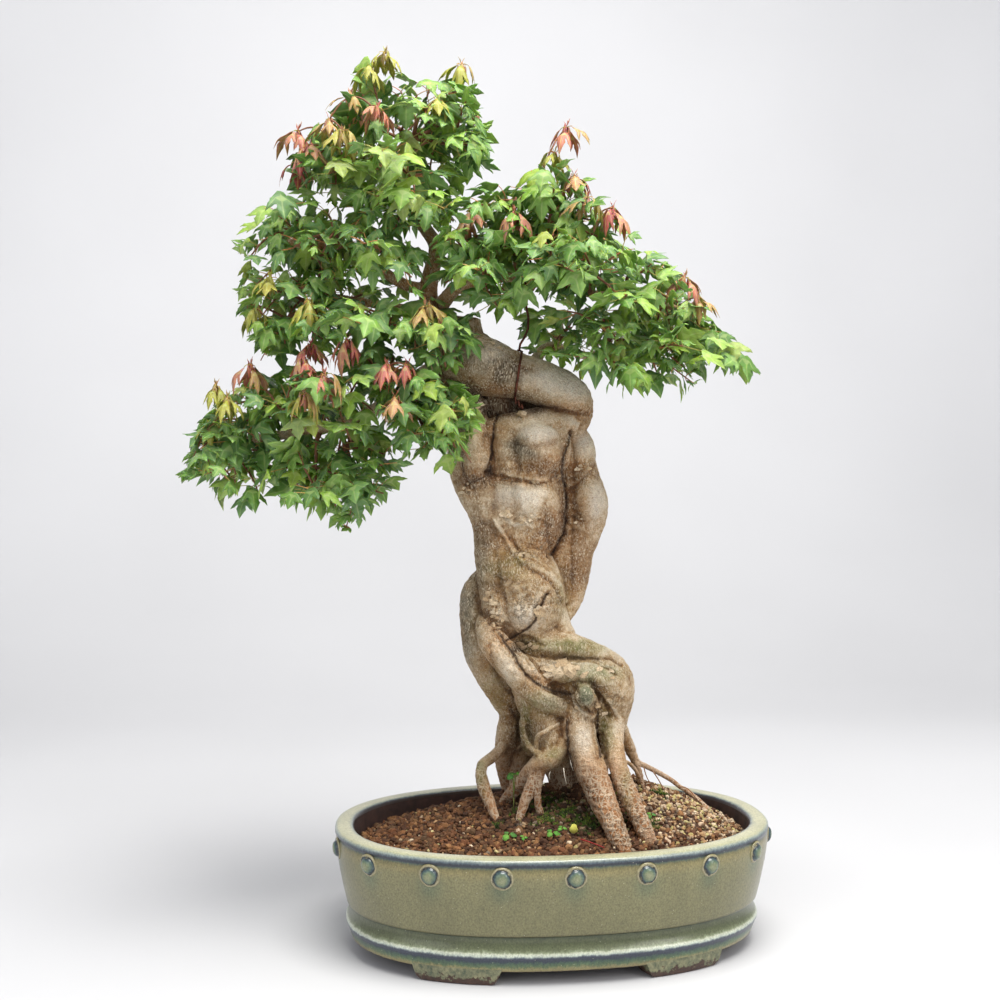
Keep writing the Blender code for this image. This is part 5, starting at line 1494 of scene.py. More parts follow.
# Half of a leaf blade's edge, from the stalk round one side lobe to the tip, in blade lengths.
LEAF_EDGES = (
    (
        (0.02, -0.01), (0.12, 0.03), (0.24, 0.15), (0.36, 0.28), (0.44, 0.34), (0.48, 0.45),
        (0.55, 0.52), (0.62, 0.74), (0.5, 0.68), (0.42, 0.66), (0.33, 0.585), (0.215, 0.54),
        (0.235, 0.66), (0.27, 0.72), (0.2, 0.81), (0.14, 0.91), (0.0, 1.12),
    ),
    (
        (0.02, -0.01), (0.14, 0.0), (0.3, 0.09), (0.45, 0.19), (0.53, 0.22), (0.6, 0.31),
        (0.68, 0.35), (0.79, 0.51), (0.64, 0.52), (0.56, 0.54), (0.42, 0.495), (0.22, 0.5),
        (0.25, 0.62), (0.295, 0.67), (0.22, 0.78), (0.15, 0.89), (0.0, 1.12),
    ),
    (
        (0.02, -0.01), (0.1, 0.06), (0.19, 0.19), (0.28, 0.33), (0.34, 0.39), (0.37, 0.5),
        (0.43, 0.57), (0.46, 0.8), (0.36, 0.72), (0.315, 0.7), (0.25, 0.61), (0.165, 0.56),
        (0.18, 0.67), (0.21, 0.73), (0.165, 0.82), (0.11, 0.93), (0.0, 1.14),
    ),
)


def leaf_template(half):
    """Flat points and triangles of one blade, with lines along its three main veins."""
    tip = half[-1]
    lobe = max(half, key=lambda p: p[1] if p[0] > 0.4 else 0)
    edge = list(half) + [(-x, y) for x, y in half[-2::-1]]
    rib = [(0.0, tip[1] * t) for t in (0.16, 0.34, 0.52, 0.70, 0.86)]
    vein = [(lobe[0] * t, VEIN_START + (lobe[1] - VEIN_START) * t) for t in (0.34, 0.68)]
    flat = [Vector(p) for p in edge + rib + vein + [(-x, y) for x, y in vein]]
    count, first, lobe_at = len(edge), len(edge) + len(rib), half.index(lobe)
    chains = ((*range(count, first), len(half) - 1), (first, first + 1, lobe_at),
              (first + 2, first + 3, count - 1 - lobe_at))
    lines = [(i, (i + 1) % count) for i in range(count)]
    lines += [pair for chain in chains for pair in zip(chain, chain[1:])]
    points, _, faces, *_ = delaunay_2d_cdt(flat, lines, [tuple(range(count))], 1, 1e-6)
    points = [(p.x, p.y) for p in points]
    slope = (lobe[1] - VEIN_START) / lobe[0]
    veins = []
    for x, y in points:
        off = 1.0
        if y < lobe[1] + VEIN_START:
            off = abs(abs(x) * slope + VEIN_START - y) / math.hypot(slope, 1)
        veins.append(max(0.0, 1 - min(abs(x), off) / VEIN_WIDTH))
    return points, [tuple(face) for face in faces], veins, count


LEAVES = [leaf_template(half) for half in LEAF_EDGES]


def closed_blade(pile, top, faces, rim, normal, tints):
    """Adds a thin solid blade, whose first rim points run round its edge."""
    count = len(top)
    low = [point - normal * BLADE_THICKNESS * MM for point in top]
    solid = list(faces)
    solid += [tuple(count + i for i in reversed(face)) for face in faces]
    for i in range(rim):
        a, b = i, (i + 1) % rim
        solid.append((b, a, a + count, b + count))
    pile.add(top + low, solid, tints)


def add_leaf(pile, base, axis, normal, length, rng, tint, bend, fold=0.12, kind=None, squeeze=1.0):
    """One thin closed blade whose stalk joins at base and whose middle lobe points along axis."""
    points, faces, veins, rim = LEAVES[kind if kind is not None else rng.choice((0, 0, 1, 2))]
    axis = square(axis, normal)
    side = axis.cross(normal)
    wide = rng.uniform(0.76, 1.14) * squeeze
    curl, twist = bend * rng.uniform(0.5, 1.4), rng.uniform(-0.3, 0.3)
    cup = fold * rng.uniform(0.2, 1.8)
    phase = rng.uniform(0, 6.3)
    top, tints = [], []
    for (x, y), vein in zip(points, veins):
        x *= wide
        rise = -0.42 * curl * y * y - 0.5 * curl * x * x * (0.6 + abs(x)) + twist * x * y
        rise += cup * abs(x) * (1 - y * 0.4) - 0.02 * vein
        rise += 0.03 * math.sin(6 * y + 8 * abs(x) + phase)
        shorten = 1 - 0.10 * curl * y
        top.append(base + (side * x + axis * y * shorten + normal * rise) * length * MM)
        tints.append((tint[0], tint[1], tint[2] + 0.35 * vein))
    closed_blade(pile, top, faces, rim, normal, tints + tints)


def stalk_route(start, end, way, radius):
    """A thin stalk that leaves along way and bends over to its end."""
    reach = (end - start).length
    bend = start + way * reach * 0.55
    route = []
    for t in (0.0, 0.35, 0.7, 1.0):
        point = start.lerp(bend, t).lerp(bend.lerp(end, t), t)
        route.append((point, radius * (1.15 - 0.3 * t)))
    return route


def station_near(name, target):
    """The point of a branch, past its first quarter, that lies nearest to target."""
    route = smooth_route(BRANCHES[name], 6)
    return min((point for point, _ in route[len(route) // 4:]), key=lambda p: (p - target).length)


def bowed(start, end, bow, steps):
    """Points from start to end that stand off by bow halfway."""
    return [start.lerp(end, i / steps) + bow * math.sin(math.pi * i / steps)
            for i in range(steps + 1)]


def along(points, share):
    """The point at a share of a line's length, and the line's direction there."""
    lengths = [(b - a).length for a, b in zip(points, points[1:])]
    left = share * sum(lengths)
    for a, b, length in zip(points, points[1:], lengths):
        if left <= length:
            break
        left -= length
    return a.lerp(b, min(1.0, left / length)), (b - a).normalized()


UP = Vector((0, 0, 1))


class Foliage:
    """Grows twigs, stalks and blades for one pad of leaves."""

    def __init__(self, wood_tree, seed, edge):
        self.rng = random.Random(seed)
        self.wood = wood_tree
        self.edge = edge
        self.blades, self.stalks, self.twigs = Pile(), Pile(), Pile()
        self.centres, self.ends, self.lines = [], [], []

    def in_pad(self, point):
        """Whether a point lies inside the pad's edge as seen from the front."""
        x, z = front_place(point)
        inside = False
        for (ax, az), (bx, bz) in zip(self.edge, self.edge[1:] + self.edge[:1]):
            if (az > z) != (bz > z) and x < ax + (bx - ax) * (z - az) / (bz - az):
                inside = not inside
        return inside

    def free(self, centre, normal, room):
        """Whether a blade has room mm to others that face its way, and keeps off the wood."""
        for other, facing in self.centres:
            if (other - centre).length < room * MM and facing.dot(normal) > 0.35:
                return False
        near = self.wood.find_nearest(centre, 0.02)[0]
        return near is None or (near - centre).length > WOOD_ROOM * MM

    def leaf(self, place, around, heart, size):
        """Tries blades on a stalk from place, and adds the first that has room."""
        rng = self.rng
        for _ in range(LEAF_TRIES):
            way = (around + UP * rng.uniform(0.1, 0.9) + random_way(rng) * 0.35).normalized()
            reach = rng.uniform(0.4, 1.2) * size[2]
            outward = Vector((place.x - heart.x, place.y - heart.y, 0))
            outward = outward.normalized() if outward.length > 1e-6 else way
            heading = Vector((way.x, way.y, 0)) * 0.9 + outward * 0.4 + random_way(rng) * 0.8
            heading.z = 0
            if heading.length < 1e-3:
                continue
            heading.normalize()
            droop = rng.triangular(-0.7, 2.4, 0.3)
            base = place + (way * 0.75 + heading * 0.25) * reach * MM
            axis = (heading - UP * droop).normalized()
            normal = UP + heading * droop + UP.cross(heading) * rng.uniform(-1.1, 1.1)
            normal = square(normal, axis)
            length = rng.triangular(*size)
            centre = base + axis * length * 0.45 * MM
            if self.in_pad(centre) and self.free(centre, normal, LEAF_ROOM * rng.uniform(0.9, 1.7)):
                break
        else:
            return
        self.centres.append((centre, normal))
        patch = noise.noise(centre / (55 * MM))
        tint = (min(1.0, max(0.0, 0.12 + 0.76 * rng.random() + 0.5 * patch)), rng.random(), 0.0)
        add_leaf(self.blades, base, axis, normal, length, rng, tint, rng.uniform(0.1, 0.9))
        route = stalk_route(place, base + axis * 0.6 * MM, way, 0.5)
        self.stalks.tube(route, 3, (rng.random(), 0.3, 0.0))

    def bunch(self, x, z, depth, yellow):
        """Young leaves that hang folded from the tip of a short shoot."""
        rng = self.rng
        tip = seen(x, z + 9, depth)
        start = min((point for line in self.lines for point in line), key=lambda p: (p - tip).length)
        self.twig(bowed(start, tip, UP * (tip - start).length * 0.12, 5), 1.1, 0.7)
        turn = rng.uniform(0, 6.3)
        for number in range(BUNCH_LEAVES):
            angle = turn + math.pi * number + math.pi / 2 * (number // 2) + rng.uniform(-0.4, 0.4)
            heading = compass(angle)
            normal = (UP + heading * rng.uniform(0.2, 0.8)).normalized()
            if number < 4:
                base = tip + (heading * rng.uniform(3, 8) + UP * rng.uniform(-4, 2)) * MM
                axis = heading - UP * rng.uniform(0.5, 1.3)
                length, bend, squeeze, old = rng.uniform(19, 28), rng.uniform(0.9, 1.5), 0.8, 0.2
            elif number < 8:
                base = tip + (heading * rng.uniform(1, 4) + UP * rng.uniform(0, 4)) * MM
                axis, normal = heading * 0.5 - UP, heading + UP * 0.4
                length, bend, squeeze, old = rng.uniform(11, 18), rng.uniform(0.3, 0.9), 0.62, 0.0
            else:
                base, axis, normal = tip, UP + heading * 0.5, heading - UP * 0.5
                length, bend, squeeze, old = rng.uniform(6, 10), 0.1, 0.4, -0.1
            tint = (rng.random(), min(1.0, max(0.0, yellow + old + rng.uniform(-0.2, 0.25))), 0.6)
            add_leaf(self.blades, base, axis.normalized(), normal.normalized(), length, rng, tint,
                     bend, -0.45, 2, squeeze)
            if number < 8:
                route = stalk_route(tip, base, (heading + UP * 0.6).normalized(), 0.5)
                self.stalks.tube(route, 3, (rng.random(), 0.6, 0.0))

    def twig(self, points, thick, thin):
        route = [(p, thick + (thin - thick) * i / (len(points) - 1)) for i, p in enumerate(points)]
        self.twigs.tube(route, 6, (self.rng.random(), thin / thick, 0.0))
        self.lines.append(points)

    def leafy(self, points, spacing, heart, first=0.25, size=LEAF_SIZE):
        """Pairs of leaves from a stem's tip back to its share first, about spacing mm apart."""
        rng = self.rng
        length = sum((b - a).length for a, b in zip(points, points[1:])) / MM
        share, pair = 1.0, 0
        while share > first:
            place, ahead = along(points, share)
            one = ahead.cross(UP)
            one = one.normalized() if one.length > 1e-3 else ahead.orthogonal().normalized()
            two = one.cross(ahead).normalized()
            turn = pair * math.pi / 2 + rng.uniform(-0.5, 0.5)
            for half in (0, math.pi):
                around = one * math.cos(turn + half) + two * math.sin(turn + half) * 0.6
                self.leaf(place, around + ahead * rng.uniform(0.1, 0.8), heart, size)
            pair += 1
            share -= spacing * rng.uniform(0.8, 1.2) / max(length, 10)

    def spray(self, branch, target):
        """A leafy stem from a branch to target, with twigs that end far from each other."""
        rng = self.rng
        base = station_near(branch, target)
        stem = bowed(base, target, random_way(rng) * 4 * MM + UP * 3 * MM, 6)
        self.twig(stem, 2.4, 1.2)
        self.leafy(stem, LEAF_SPACING, base, 0.5)
        for _ in range(SPRAY_TWIGS):
            best = None
            for _ in range(TWIG_TRIES):
                start, _ = along(stem, rng.uniform(0.2, 1.0))
                way = random_way(rng)
                way.z = way.z * 0.7 + 0.1
                end = start + way.normalized() * rng.uniform(0.6, 1.15) * SPRAY_SPREAD * MM
                if not self.in_pad(end):
                    continue
                room = min([(end - other).length for other in self.ends], default=1.0)
                if best is None or room > best[0]:
                    best = (room, start, end)
            if best is None:
                continue
            _, start, end = best
            self.ends.append(end)
            bough = bowed(start, end, random_way(rng) * 3 * MM + UP * 2 * MM, 4)
            self.twig(bough, 1.4, 0.8)
            self.leafy(bough, LEAF_SPACING, base)


def random_way(rng):
    """A direction that is as likely as any other."""
    while True:
        way = Vector((rng.uniform(-1, 1), rng.uniform(-1, 1), rng.uniform(-1, 1)))
        if 0.05 < way.length < 1:
            return way.normalized()


def leaf_finish():
    finish = Finish("leaf", 0.5, Subsurface_Weight=0.85, Subsurface_Scale=0.0005)
    finish.shader.inputs["Subsurface Radius"].default_value = (0.8, 1.0, 0.2)
    finish.shader.inputs["Specular IOR Level"].default_value = 0.35
    tone, hue, kind = finish.parts("tint")
    green = finish.ramp(
        tone, (0.0, (76, 112, 48)), (0.3, (98, 138, 56)), (0.55, (122, 158, 62)),
        (0.78, (150, 180, 72)), (0.94, (154, 178, 78)), (1.0, (158, 170, 84)))
    cool = finish.mix(finish.times(hue, 0.42), green, (132, 166, 122))
    young = finish.ramp(
        hue, (0.0, (168, 82, 80)), (0.3, (180, 104, 92)), (0.55, (180, 136, 104)),
        (0.8, (164, 144, 76)), (1.0, (158, 156, 68)))
    colour = finish.mix(finish.levels(kind, (0.42, 0.0), (0.5, 1.0)), cool, young)
    vein = finish.levels(kind, (0.28, 0.0), (0.345, 0.3), (0.42, 0.0), (0.88, 0.0), (0.945, 0.35))
    colour = finish.mix(vein, colour, (204, 214, 146))
    colour = finish.mottled(colour, finish.noise(7, 4.0, 0.6), 1.0, (0.3, 0.78), (0.7, 1.14))
    return finish.done(colour, finish.noise(2.2, 3.0, 0.6), 0.0004, 0.35)


def stalk_finish():
    finish = Finish("leaf_stalk", 0.5)
    tone = finish.parts("tint")[0]
    return finish.done(finish.ramp(
        tone, (0.0, (150, 160, 74)), (0.5, (196, 168, 92)), (1.0, (200, 116, 76))))


def twig_finish():
    finish = Finish("twig_bark", 0.7)
    colour = finish.ramp(finish.noise(5, 4.0, 0.6), (0.3, (104, 62, 42)), (0.7, (156, 106, 76)))
    return finish.done(colour, finish.noise(1.2, 3.0, 0.6), 0.0004, 0.6)


def grain_shape():
    """The twenty-sided ball that every grain of soil starts from."""
    work = bmesh.new()
    bmesh.ops.create_icosphere(work, subdivisions=1, radius=1.0)
    points = [vertex.co.copy() for vertex in work.verts]
    faces = [tuple(v.index for v in face.verts) for face in work.faces]
    work.free()
    return points, faces


# Colours of the fired clay grains and of the grit among them, from 0 to 255.
AKADAMA = (
    (106, 70, 42), (90, 57, 33), (124, 84, 50), (74, 46, 27), (110, 68, 39), (140, 100, 62),
    (96, 70, 45),
)

GRIT = (
    (192, 162, 126), (172, 136, 96), (136, 118, 98), (212, 190, 160), (122, 84, 56),
    (154, 120, 86), (106, 84, 66), (198, 172, 144), (176, 160, 104), (190, 176, 124),
)

# Points round the soil's mound, its rings, and the way between grains and between their rows in mm.
SOIL_SIDES, SOIL_RINGS, GRAIN_PITCH, ROW_PITCH = 96, 31, 4.0, 4.0 * 0.866
# Half the size of a grain in mm: least, most and usual.
GRAIN_SIZE = (1.5, 5.0, 2.0)


def grit_share(x, y):
    """Share of pale grit in the soil, which lies at the pot's right and round the roots."""
    right = 1 / (1 + math.exp(-(x - 78) / 12))
    mound = math.exp(-((x - 10) / 60) ** 2 - ((y + 14) / 46) ** 2)
    return min(1.0, 0.05 + 0.9 * right * math.exp(-((y + 6) / 100) ** 2) + 0.5 * mound)


# Darker places in the soil round the roots: pot x, y and half width in mm.
DARKER_SOIL = ((0, -34, 30), (30, -52, 26), (-20, 0, 34), (50, 6, 36), (-52, -30, 16))


def soil_darkening(x, y):
    """0 on most of the soil, up to 1 in the darker places."""
    return min(1.0, sum(math.exp(-((x - a) ** 2 + (y - b) ** 2) / r ** 2) for a, b, r in DARKER_SOIL))


def inside_pot(x, y, inset):
    """Whether a point in mm lies more than inset mm inside the pot's outline."""
    across, deep = abs(x) / (POT_LENGTH / 2 - inset), abs(y) / (POT_WIDTH / 2 - inset)
    return across ** POT_ROUNDNESS + deep ** POT_ROUNDNESS < 1


def soil_mass():
    """Points and faces of the filled mound under the grains."""
    points = []
    angles = [2 * math.pi * i / SOIL_SIDES for i in range(SOIL_SIDES)]
    for ring in range(SOIL_RINGS):
        share = 0.02 + 0.98 * ring / (SOIL_RINGS - 1)
        for angle in angles:
            edge = (oval(LIP_WIDTH + 1.2, 0, angle) - SHIFT) / MM
            x = MOUND_X + (edge.x - MOUND_X) * share
            y = MOUND_Y + (edge.y - MOUND_Y) * share
            rough = 0.8 * noise.noise((x / 7, y / 7, 0.5))
            points.append(on_soil(x, y, rough - 0.8))
    points += [oval(WALL_AT_FLOOR + 9, FLOOR_TOP + 2, angle) for angle in angles]
    return points, ring_faces(SOIL_RINGS + 1, SOIL_SIDES)


def build_soil():
    rng = random.Random(SEED + 1)
    pile = Pile()
    pile.add(*soil_mass(), linear((74, 46, 30)))
    shape, sides = grain_shape()

    def grain(x, y):
        size = rng.triangular(*GRAIN_SIZE)
        pale = rng.random() < grit_share(x, y)
        colour = rng.choice(GRIT if pale else AKADAMA)
        if pale:
            size *= 0.8
        bright = rng.uniform(0.7, 1.25) * (1 - 0.55 * soil_darkening(x, y))
        spin = Matrix.Rotation(rng.uniform(0, 6.3), 3, random_way(rng))
        stretch = Vector((rng.uniform(0.8, 1.3), rng.uniform(0.7, 1.1), rng.uniform(0.55, 1.0)))
        centre = on_soil(x, y, rng.uniform(-1.0, 1.4))
        points = [centre + spin @ (p * stretch * rng.uniform(0.7, 1.2)) * size * MM for p in shape]
        pile.add(points, sides, lit(colour, bright))

    y = -POT_WIDTH / 2
    row = 0
    while y < POT_WIDTH / 2:
        x = -POT_LENGTH / 2 + (row % 2) * GRAIN_PITCH / 2
        while x < POT_LENGTH / 2:
            near_x = x + rng.uniform(-0.4, 0.4) * GRAIN_PITCH
            near_y = y + rng.uniform(-0.4, 0.4) * GRAIN_PITCH
            if inside_pot(near_x, near_y, LIP_WIDTH + 3.4):
                grain(near_x, near_y)
            x += GRAIN_PITCH
        y += ROW_PITCH
        row += 1
    return pile


def soil_finish():
    finish = Finish("akadama_soil", 0.9)
    speck = finish.noise(0.8, 3.0, 0.7)
    colour = finish.mottled(finish.attribute("tint"), speck, 1.0, (0.3, 0.7), (0.7, 1.25))
    return finish.done(colour, finish.noise(0.7, 3.0, 0.6), 0.0003, 0.6)


# Moss: pot x, y, radius in mm and number of tufts.
MOSS = (
    (6, -26, 20, 62), (-14, -34, 14, 32), (34, -40, 20, 52), (22, -56, 16, 32), (-34, -10, 14, 27),
    (60, -44, 12, 25), (-6, 6, 18, 37), (92, -52, 10, 20), (54, -10, 16, 27), (-60, -28, 9, 11),
    (118, 10, 12, 15), (40, 40, 24, 25), (-30, 40, 20, 20),
)

# Shoots in a tuft of moss, and the tuft's half width in mm.
TUFT_SHOOTS, TUFT_RADIUS = 12, 2.2

MOSS_COLOURS = ((56, 78, 20), (80, 104, 28), (42, 56, 18), (118, 130, 44), (70, 94, 26))


def build_moss():
    """Tufts of short pointed shoots."""
    rng = random.Random(SEED + 2)
    pile = Pile()
    for x, y, radius, tufts in MOSS:
        for _ in range(tufts):
            tuft_x, tuft_y = x + rng.gauss(0, radius * 0.5), y + rng.gauss(0, radius * 0.5)
            colour = rng.choice(MOSS_COLOURS)
            for _ in range(TUFT_SHOOTS):
                turn, out = rng.uniform(0, 6.3), math.sqrt(rng.random())
                away = compass(turn) * out
                foot = on_soil(tuft_x + TUFT_RADIUS * away.x, tuft_y + TUFT_RADIUS * away.y, 0.6)
                lean = (away * 0.9 + UP).normalized()
                one = lean.orthogonal().normalized() * rng.uniform(0.5, 0.9) * MM
                two = lean.cross(one)
                ring = [foot + one * math.cos(turn + a) + two * math.sin(turn + a)
                        for a in (0, 2.1, 4.2)]
                tip = foot + lean * rng.uniform(2.4, 4.6) * (1.1 - 0.4 * out) * MM
                pile.add(ring + [tip], [(0, 2, 1), (0, 1, 3), (1, 2, 3), (2, 0, 3)],
                         lit(colour, rng.uniform(0.7, 1.3)))
    return pile


def moss_finish():
    finish = Finish("moss", 0.8)
    speck = finish.noise(1.5, 3.0, 0.6)
    return finish.done(finish.mottled(finish.attribute("tint"), speck, 1.0, (0.3, 0.75), (0.7, 1.2)))


# Seedlings in the soil, as seen from the front: x, z, depth, height and leaf size in mm.
SEEDLINGS = (
    (-40, 132, -2, 37, 8.5), (-46, 108, -66, 7, 7), (0, 108, -66, 6, 6.5), (10, 112, -58, 5, 4.5),
    (103, 118, -40, 9, 5.5), (-30, 102, -70, 5, 4),
)

SEEDLING_COLOURS = ((84, 142, 50), (74, 124, 52), (104, 156, 60))


def round_leaf(pile, base, axis, normal, length, tint):
    """A round blade with a notch at each quarter."""
    side = axis.cross(normal)
    sides = 12
    top = []
    for k in range(sides):
        a = 2 * math.pi * k / sides
        notch = 1.0 if k % 4 else 0.86
        top.append(base + (axis * (0.5 - 0.5 * math.cos(a)) + side * 0.48 * math.sin(a)) * notch
                   * length * MM)
    closed_blade(pile, top, [tuple(range(sides))], sides, normal, tint)


def build_seedlings():
    rng = random.Random(SEED + 3)
    pile = Pile()
    for x, z, y, tall, size in SEEDLINGS:
        place = (seen(x, z, y) - SHIFT) / MM
        root = on_soil(place.x, place.y)
        for number in range(3):
            out = compass(number * 2.1 + rng.uniform(-0.4, 0.4))
            start = root + UP * tall * 0.3 * MM
            end = root + UP * tall * rng.uniform(0.93, 1.03) * MM + out * size * 0.3 * MM
            pile.tube(stalk_route(start, end, UP, 0.4), 4, linear((120, 150, 60)))
            normal = (UP + out * 0.4 - Vector((0, 0.5, 0))).normalized()
            round_leaf(pile, end, square(out, normal), normal, size * rng.uniform(0.8, 1.1),
                       linear(rng.choice(SEEDLING_COLOURS)))
        stem = [(root - UP * 2 * MM, 0.6), (root + UP * tall * 0.32 * MM, 0.5)]
        pile.tube(stem, 5, linear((130, 140, 70)))
    return pile


# Root hairs, a needle and dry stems on the soil: three (x, z, y) points, radius in mm and colour.
LITTER = (
    (((12, 172, -40), (13, 164, -42), (15, 155, -40)), 0.45, (232, 224, 206)),
    (((19, 180, -38), (20, 175, -41), (22, 169, -41)), 0.32, (232, 224, 206)),
    (((-2, 168, -34), (-3, 164, -36), (-2, 160, -36)), 0.25, (232, 224, 206)),
    (((30, 97, -86), (42, 93, -88), (55, 88, -92)), 0.8, (150, 40, 34)),
    (((104, 170, 30), (112, 158, 34), (118, 146, 36)), 0.7, (150, 110, 80)),
    (((96, 172, 30), (100, 160, 34), (108, 150, 34)), 0.6, (160, 120, 86)),
    (((132, 152, 40), (142, 150, 34), (152, 138, 24)), 0.7, (156, 112, 80)),
)


def build_litter():
    """The litter's stems and one fallen leaf."""
    pile = Pile()
    for line, radius, colour in LITTER:
        start, bend, end = [seen(*place) for place in line]
        curve = bowed(start, end, bend - (start + end) / 2, 6)
        pile.tube([(p, radius * (1.1 - 0.08 * i)) for i, p in enumerate(curve)], 5, linear(colour))
    axis, normal = Vector((0.2, 0.1, 1)).normalized(), Vector((0.1, -1, 0.2)).normalized()
    round_leaf(pile, seen(22, 103, -66), square(axis, normal), normal, 9.5, linear((190, 186, 84)))
    return pile


WIRE_RADIUS, KNOT_RADIUS = 1.25, 0.9
# The middle of the wire's ring, and a point of its axis at each side, as (x, z, y) in mm.
RING_MIDDLE, RING_AXIS = (-36.7, 581.5, -6), ((-48.7, 583, -6), (-24.7, 580, -6))
# Steps along the ring, its turns, and how far from its middle it lies where it meets no wood in mm.
RING_STEPS, RING_TURNS, RING_REACH = 48, 0.98, 26
# Ends of the knot, its steps and turns, and the place under which the hanger meets the branch.
KNOT_ENDS, KNOT_STEPS, KNOT_TURNS = ((-40, 557, -28), (-31, 547, -30)), 40, 2.6
HANGER_TOP = (-28, 676, -2)

# The wire's way from its knot up to the branch.
HANGER = (
    (-34.5, 607, -10), (-33.5, 613, -12), (-29, 620, -11), (-25.5, 629, -9), (-25, 640, -7),
    (-27, 650, -5), (-28, 660, -3),
)


def build_wire(bark_tree):
    """Copper wire round the limb, knotted under it and hung from the branch above."""
    centre = seen(*RING_MIDDLE)
    left, right = [seen(*place) for place in RING_AXIS]
    across = (right - left).normalized()
    up = square(UP, across)
    back = up.cross(across)
    ring = []
    for i in range(RING_STEPS + 1):
        share = i / RING_STEPS
        angle = 2 * math.pi * RING_TURNS * share
        ray = up * math.cos(angle) + back * math.sin(angle)
        start = centre + across * (share - 0.5) * 4 * MM
        hit = bark_tree.ray_cast(start, ray)
        reach = hit[3] if hit[0] is not None and hit[3] < 30 * MM else RING_REACH * MM
        ring.append(start + ray * (reach + 0.9 * MM))
    under = seen(*HANGER_TOP)
    hit = bark_tree.ray_cast(under - UP * 0.03, UP)[0] or under
    hanger = [ring[-1]] + [seen(*place) for place in HANGER] + [hit - UP * 1.2 * MM]
    knot = []
    first, last = [seen(*place) for place in KNOT_ENDS]
    for i in range(KNOT_STEPS + 1):
        t = i / KNOT_STEPS
        spin = 2 * math.pi * KNOT_TURNS * t
        knot.append(first.lerp(last, t) + (back * math.cos(spin) + up * math.sin(spin))
                    * (3.0 - 1.2 * t) * MM)
    pile = Pile()
    for line, radius in ((ring, WIRE_RADIUS), (hanger, WIRE_RADIUS), (knot, KNOT_RADIUS)):
        pile.tube([(point, radius) for point in line], 10, (0.5, 0.5, 0.5))
    return pile


def copper_finish():
    finish = Finish("dark_copper", 0.45, Metallic=0.8)
    colour = finish.ramp(finish.noise(6, 3.0, 0.6), (0.3, (62, 36, 30)), (0.7, (112, 66, 50)))
    return finish.done(colour, finish.noise(1.0, 2.0, 0.5), 0.0002, 0.4)


def screen_finish(name):
    finish = Finish(name, 0.6)
    return finish.done(finish.ramp(finish.noise(3, 3.0, 0.6), (0.3, (20.8,) * 3), (0.7, (26,) * 3)))


def own(piece, slot, *nodes):
    """Ties a piece to the body and hides the nodes that it replaces; slot is not used."""
    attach(piece, "root")
    if nodes:
        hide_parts(*nodes)


def dress_pot():
    pot = build_pot()
    pot.data.materials.append(glaze_finish())
    pot.data.materials.append(clay_finish())
    low, high = CLAY_INSIDE
    for face in pot.data.polygons:
        place = (face.center - SHIFT) / MM
        inner = inside_pot(place.x, place.y, LIP_WIDTH - 0.6) and low < place.z < high
        under = place.z < CLAY_UNDER and inside_pot(place.x, place.y, CLAY_INSET)
        face.material_index = int(inner or under)
    own(pot, "celadon_glaze", "pot")
    own(build_studs().make("pot_studs", stud_finish()), "celadon_glaze")
    own(build_feet().make("pot_feet", foot_finish(), smooth=False), "celadon_glaze")
    for side in ("left", "right"):
        screen = frame["nodes"]["drain_screen_" + side]
        screen.data.materials.clear()
        screen.data.materials.append(screen_finish("screen_plastic_" + side))


def dress_bark():
    """Dresses the wood and returns its search tree, for what keeps off it or sits on it."""
    bark = bark_finish()
    trunk = build_bark()
    trunk.data.materials.append(bark)
    own(trunk, "bark", "wood")
    roots = build_fine_roots().make("fine_roots", bark)
    colour_bark(roots)
    own(roots, "bark")
    work = bmesh.new()
    work.from_mesh(trunk.data)
    bark_tree = BVHTree.FromBMesh(work)
    work.free()
    own(build_plates(bark_tree).make("loose_bark", plate_finish(), smooth=False), "bark")
    return bark_tree


def dress_pads(bark_tree):
    leaf, stalk, twig = leaf_finish(), stalk_finish(), twig_finish()
    for number, (pad, sprays) in enumerate(SPRAYS.items()):
        foliage = Foliage(bark_tree, SEED + 10 * number, PAD_EDGES[pad])
        targets = sum(len(group) - 1 for group in sprays)
        names = [pad + "_" + str(i + 1) for i in range(targets)]
        names += ["young_shoot_" + str(i + 1) for i, carrier in enumerate(SHOOT_CARRIERS)
                  if carrier in names]
        for branch, *ends in sprays + FILLERS[pad]:
            for end in ends:
                foliage.spray(branch, seen(*end))
        for line in TENDRILS.get(pad, ()):
            points = [seen(*place) for place in line]
            foliage.twig(points, 1.0, 0.6)
            foliage.leafy(points, 8, points[0], 0.1, SMALL_LEAF_SIZE)
        for bunch in YOUNG[pad]:
            foliage.bunch(*bunch)
        own(foliage.blades.make(pad + "_leaves", leaf), "leaf_green", *names)
        own(foliage.stalks.make(pad + "_stalks", stalk), "leaf_green")
        own(foliage.twigs.make(pad + "_twigs", twig), "bark")


def dress():
    dress_pot()
    own(build_soil().make("soil_grains", soil_finish(), smooth=False), "akadama_soil", "soil")
    bark_tree = dress_bark()
    own(build_wire(bark_tree).make("copper_wire", copper_finish()), "dark_copper", "guy_wire")
    moss = moss_finish()
    own(build_moss().make("moss", moss, smooth=False), "akadama_soil")
    own(build_seedlings().make("seedlings", moss), "leaf_green")
    own(build_litter().make("root_hairs", moss), "bark")
    dress_pads(bark_tree)


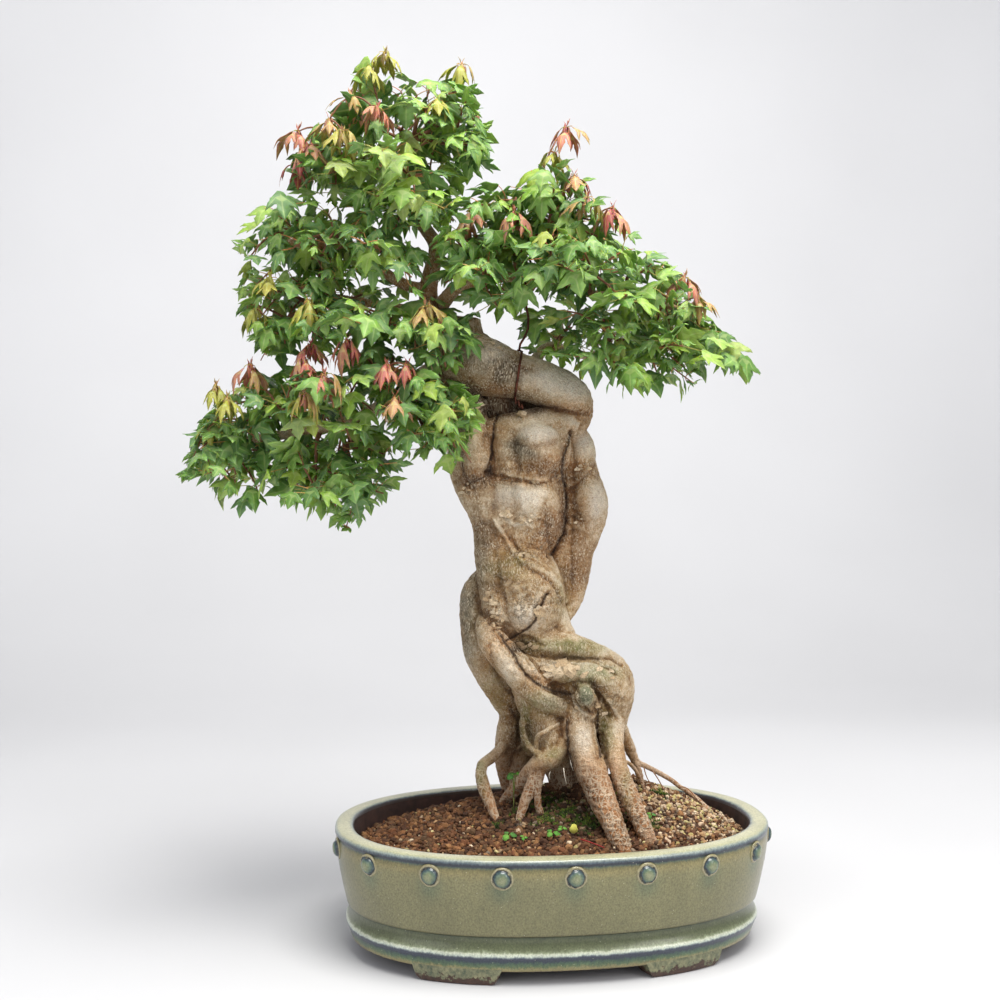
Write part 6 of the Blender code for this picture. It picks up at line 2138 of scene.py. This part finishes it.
def stage():
    """A paper sweep whose wall curves up behind the pot."""
    low = cad_bounds[0][2]
    near, wall, bend, top = -4.0, 1.2, 0.9, 5.0
    profile = [(near, low), (wall, low)]
    profile += [(wall + bend * math.sin(a), low + bend - bend * math.cos(a))
                for a in (0.2, 0.4, 0.6, 0.8, 1.0, 1.2, 1.4, 1.57)]
    profile.append((wall + bend, top))
    points = [(x, y, z) for y, z in profile for x in (-6, 6)]
    faces = [(2 * i, 2 * i + 1, 2 * i + 3, 2 * i + 2) for i in range(len(profile) - 1)]
    sweep = new_mesh("backdrop", points, faces)
    finish = Finish("paper_backdrop", 0.9)
    paper = finish.ramp(finish.noise(900, 2.0, 0.5), (0.3, (222, 222, 224)), (0.7, (230, 230, 232)))
    # The paper is darker towards the floor, by up to a fifth at floor level: painted shade.
    colour = finish.mottled(paper, finish.height(), 1.0, (0.0, 0.8), (0.9, 0.99))
    sweep.data.materials.append(finish.done(colour))


def light(name, place, aim, size, watts, colour):
    lamp = bpy.data.lights.new(name, "AREA")
    lamp.shape = "RECTANGLE"
    lamp.size, lamp.size_y = size
    lamp.energy = watts
    lamp.color = colour
    item = in_scene(name, lamp)
    item.location = place
    item.rotation_euler = (Vector(aim) - Vector(place)).to_track_quat("-Z", "Y").to_euler()


def lights_and_camera():
    light("overhead", (0.3, -0.6, 2.4), (0, 0, 0.4), (1.5, 1.3), 76, (1.0, 0.985, 0.95))
    light("right_front", (1.7, -1.9, 1.5), (0, 0, 0.45), (1.1, 1.3), 20, (1.0, 0.98, 0.94))
    light("left_fill", (-2.0, -1.6, 1.1), (0, 0, 0.4), (1.6, 1.6), 9, (0.98, 0.98, 1.0))
    world = bpy.data.worlds.new("soft_room")
    world.use_nodes = True
    world.node_tree.nodes["Background"].inputs["Color"].default_value = (0.93, 0.95, 1.0, 1)
    world.node_tree.nodes["Background"].inputs["Strength"].default_value = 0.55
    bpy.context.scene.world = world
    camera = bpy.data.cameras.new("front_camera")
    camera.lens, camera.sensor_width = LENS, 36
    item = in_scene("front_camera", camera)
    item.location = seen(0, 0, -VIEW_DISTANCE)
    item.rotation_euler = (math.pi / 2 - CAMERA_TILT, 0, -POT_TURN)
    bpy.context.scene.camera = item
    bpy.context.scene.view_settings.view_transform = "Standard"


dress()
stage()
lights_and_camera()
